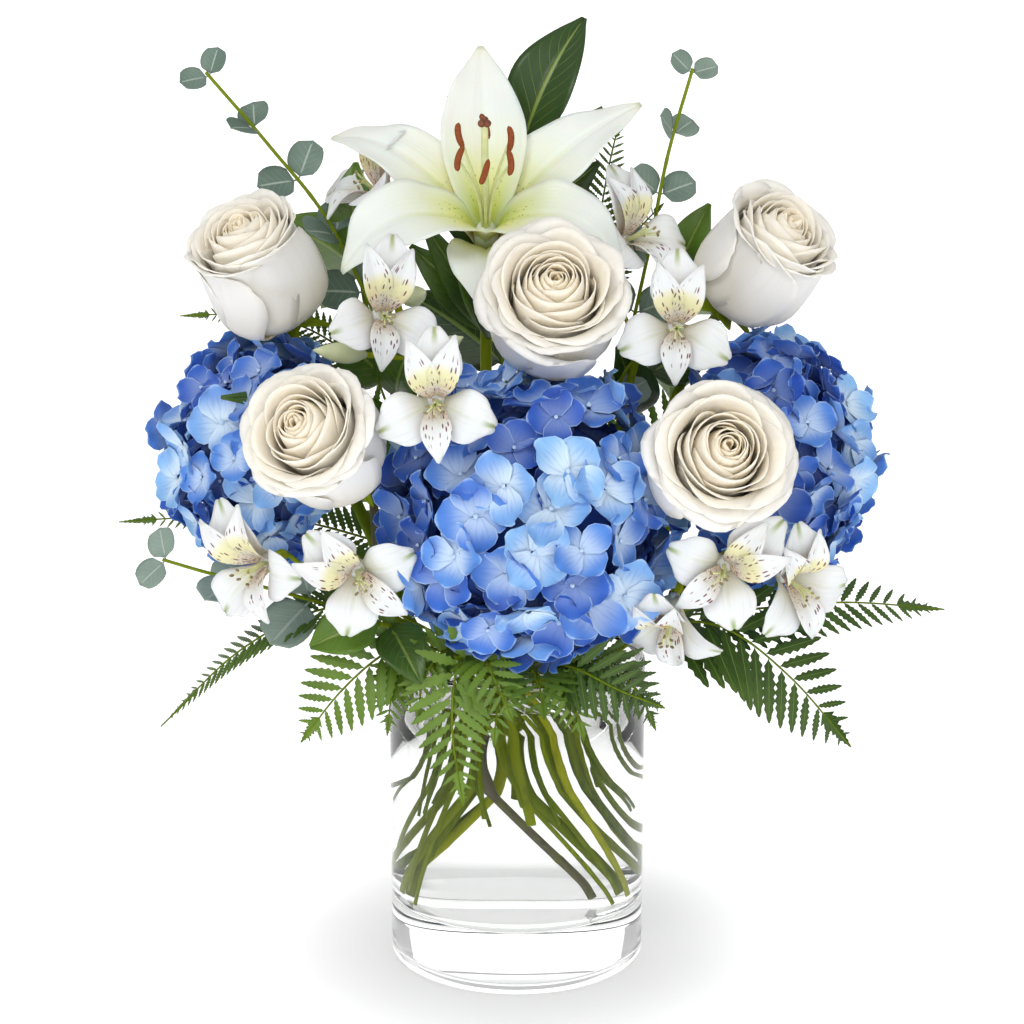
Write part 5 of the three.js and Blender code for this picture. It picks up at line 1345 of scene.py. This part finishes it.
moreFronds = dict(  # short fronds that hang over the rim, on the same stalks
    front_centre=[
        ([[2, -40, 160], [-4, -62, 161], [-9, -72, 147], [-11, -74, 128]], 21, [0, -1, 0.1]),
        ([[10, -38, 160], [18, -60, 162], [25, -70, 150], [31, -72, 130]], 23, [0.1, -1, 0.1]),
    ],
    front_right=[
        ([[20, -46, 160], [40, -58, 164], [56, -60, 151], [65, -58, 131]], 22, [0.4, -1, 0.1]),
        ([[16, -44, 166], [36, -66, 169], [50, -72, 160], [60, -72, 146]], 22, [0.2, -1, 0.3]),
    ],
    left_front=[
        ([[-40, -42, 165], [-50, -58, 165], [-58, -62, 151], [-61, -60, 129]], 20, [-0.3, -1, 0.1]),
        ([[-30, -46, 168], [-38, -66, 168], [-44, -72, 156], [-46, -72, 138]], 20, [-0.1, -1, 0.1]),
    ],
    front_left=[([[-16, -48, 166], [-14, -70, 167], [-8, -78, 156], [-2, -80, 142]], 22, [0, -1, 0.3])],
    upper_right=[
        ([[32, 28, 330], [30, 30, 356], [26, 32, 378], [20, 33, 396]], 15, [0, -1, 0.1]),
        ([[36, 28, 326], [50, 30, 348], [62, 32, 362], [72, 33, 372]], 15, [0.2, -1, 0.1]),
    ],
)
fernLook = dict(gap=0.8, rowGap=0.2, lean=36, size=0.98, skip=0.03, reach=0.93, taper=0.86, bow=1.9)
fernLook.update(teeth=7, half=0.112, tip=0.16, tipTeeth=8, tipHalf=0.13, tipThick=0.35)


def teeth(share, count):
    # 1 between two teeth, and 0 at the point of one
    return np.abs((share * count) % 1 - 0.5) * 2


def toothed(share, count):
    # the half-width of a toothed blade: deep lobes near its root, fine teeth towards its tip
    depth = 0.46 - 0.22 * share
    blade = np.sin(np.pi * np.clip(0.06 + 0.93 * share**0.85, 0, 1)) ** 0.75
    return blade * (1 - depth * teeth(share, count))


def sideFrond():
    # one side frond of length 1 along y, arched along its rib
    piece = newPiece()
    u, share = petalGrid(3, 2 * fernLook["teeth"] + 1)
    half = fernLook["half"] * toothed(share, fernLook["teeth"]) + 0.004
    along = share - 0.012 + 0.05 * np.abs(u) * (1 - share)
    rise = 0.02 * np.sin(np.pi * share) - 0.2 * np.abs(u) * half
    addSheet(piece, np.stack([u * half, 0.03 + 0.97 * along, rise], axis=2), u, share)
    return shapeObject("sideFrond", piece)


def frondTip(line, width, face, tone):
    # the toothed blade that ends a frond
    count, last = fernLook["tipTeeth"], len(line) - 1
    share = np.linspace(0, 1, 2 * count + 1)
    place = last * (1 - fernLook["tip"] * (1 - share))
    spine = np.stack([np.interp(place, np.arange(last + 1), line[:, k]) for k in range(3)], axis=1)
    along = unit(np.gradient(spine, axis=0))
    side = unit(np.cross(along, np.array(face, float)))
    half = fernLook["tipHalf"] * width * (1 - share) ** 0.85 * (1 - 0.4 * teeth(share, count))
    half = (half * smooth(share / 0.1 + 0.3) + 0.15)[:, None]
    u = np.linspace(-1, 1, 3)[:, None, None]
    piece = newPiece()
    addBlade(piece, spine + side * half * u + along * np.abs(u) * half * 0.5, fernLook["tipThick"], tone)
    return meshObject("frondTip", piece, [fernGreen])


def frondBlades(name, tree, shape, frond, tone):
    way, width, face = frond
    line = catmull(way, 12)
    length = np.linalg.norm(np.diff(line, axis=0), axis=1).sum()
    rows = int(round(length / (fernLook["gap"] + fernLook["rowGap"] * width)))
    blades = pointObject(name, line, chain(len(line)))
    size, lean = fernLook["size"] * width * mm, math.radians(fernLook["lean"])
    grow(blades, tree, Shape=shape, Material=fernGreen, Rows=rows, Size=size, Lean=lean, Facing=tuple(face))
    setTone(blades, tone)
    return joinInto(blades, frondTip(line, width, face, tone))


def makeFern():
    tree, shape = leafGrowth("frondGrowth", fernLook), sideFrond()
    for number, (name, frond) in enumerate(fronds.items()):
        node = "fern_" + name
        more = moreFronds.get(name, [])
        tone = 0.25 + 0.13 * (number % 5)
        blades = [frondBlades("fern" + titled(name), tree, shape, each, tone) for each in [frond, *more]]
        paths = [(stemAlong(node, catmull(frond[0], 12)), 1.2, 0.35)]
        paths += [(catmull(each[0], 12), 0.9, 0.35) for each in more]
        settle(joinInto(*blades, growStems("stalk", paths, 0.6)), "fern", node)
    bpy.data.objects.remove(shape)


makeFern()
print("fern made")

# floor, light and camera
studio = dict(floor=3.0, rise=2.2, curve=0.8, floorColour="#fafafa", sky=0.6, sides=0.17)
# the floor's painted light: a glow under the vase's foot, a weaker glow close to the vase that paints a
# contact shadow, and a stronger one further out that washes out the bouquet's cast shadow, with the metres
# where it changes
floorPaintedLight = dict(under=0.3, near=0.15, far=0.55, underTo=[0.063, 0.05], nearTo=[0.062, 0.17])
lights = dict(
    keyLight=dict(at=[-0.8, -1.3, 1.5], aim=[0, 0, 0.25], size=0.9, power=9.5),
    fillLight=dict(at=[0.5, -1.7, 0.5], aim=[0, 0, 0.28], size=1.6, power=8.5),
)
view = dict(at=[-0.0025, -0.95, 0.41], aim=[-0.0025, 0.0, 0.224], lens=69.6)


def makeFloor():
    depth, curve = studio["floor"], studio["curve"]
    bend = arc([depth - curve, curve], curve, -75, 0)
    profile = [[-depth, 0], [0, 0], [depth - curve, 0], *bend, [depth, studio["rise"]]]
    points = [[x, y, z] for y, z in profile for x in (-depth, depth)]
    faces = [[i, i + 1, i + 3, i + 2] for i in range(0, len(points) - 2, 2)]
    mesh = bpy.data.meshes.new("paleFloor")
    mesh.from_pydata(points, [], faces)
    mesh.polygons.foreach_set("use_smooth", [True] * len(faces))
    look = dict(Roughness=0.8, Specular_IOR_Level=0.1, Base_Color=ink(studio["floorColour"]))
    material, tree, shader = newMaterial("paleFloor", Emission_Color=(1, 1, 1, 1), **look)
    far = vectorNode(tree, "LENGTH", coordinates(tree, "Object"))
    # painted light: the floor glows less close to the vase, as a painted contact shadow, more further out,
    # where it evens the bouquet's cast shadow into white, and more again under the vase's foot
    glow = mapRange(tree, far, *floorPaintedLight["nearTo"], floorPaintedLight["near"], floorPaintedLight["far"])
    glow = mathNode(tree, "ADD", glow, mapRange(tree, far, *floorPaintedLight["underTo"], 0, floorPaintedLight["under"]))
    tree.links.new(glow, shader.inputs["Emission Strength"])
    mesh.materials.append(material)
    floor = bpy.data.objects.new("paleFloor", mesh)
    bpy.context.scene.collection.objects.link(floor)


def aimed(made, at, aim):
    made.location = at
    way = Vector(aim) - Vector(at)
    made.rotation_euler = way.to_track_quat("-Z", "Y").to_euler()
    bpy.context.scene.collection.objects.link(made)


def addLight(name, at, aim, size, power):
    light = bpy.data.lights.new(name, "AREA")
    light.shape = "DISK"
    light.size = size
    light.energy = power
    aimed(bpy.data.objects.new(name, light), at, aim)


def makeStudio():
    world = bpy.data.worlds.new("softStudio")
    bpy.context.scene.world = world
    world.use_nodes = True
    # a pale sky that darkens towards the left and the right, which draws the edges of the glass
    tree = world.node_tree
    way = addNode(tree, "ShaderNodeSeparateXYZ", {0: coordinates(tree, "Generated")})
    side = mapRange(tree, mathNode(tree, "ABSOLUTE", way.outputs[0]), 0.45, 0.85)
    low = mapRange(tree, way.outputs[2], 0.6, 0.1)
    strength = mapRange(tree, times(tree, side, low), 0, 1, studio["sky"], studio["sides"])
    tree.links.new(strength, tree.nodes["Background"].inputs["Strength"])
    tree.nodes["Background"].inputs["Color"].default_value = (1, 1, 1, 1)
    for name, look in lights.items():
        addLight(name, **look)
    camera = bpy.data.cameras.new("photoView")
    camera.lens = view["lens"]
    holder = bpy.data.objects.new("photoView", camera)
    aimed(holder, view["at"], view["aim"])
    bpy.context.scene.camera = holder
    bpy.context.scene.view_settings.view_transform = "Standard"


makeFloor()
makeStudio()
print("studio made")
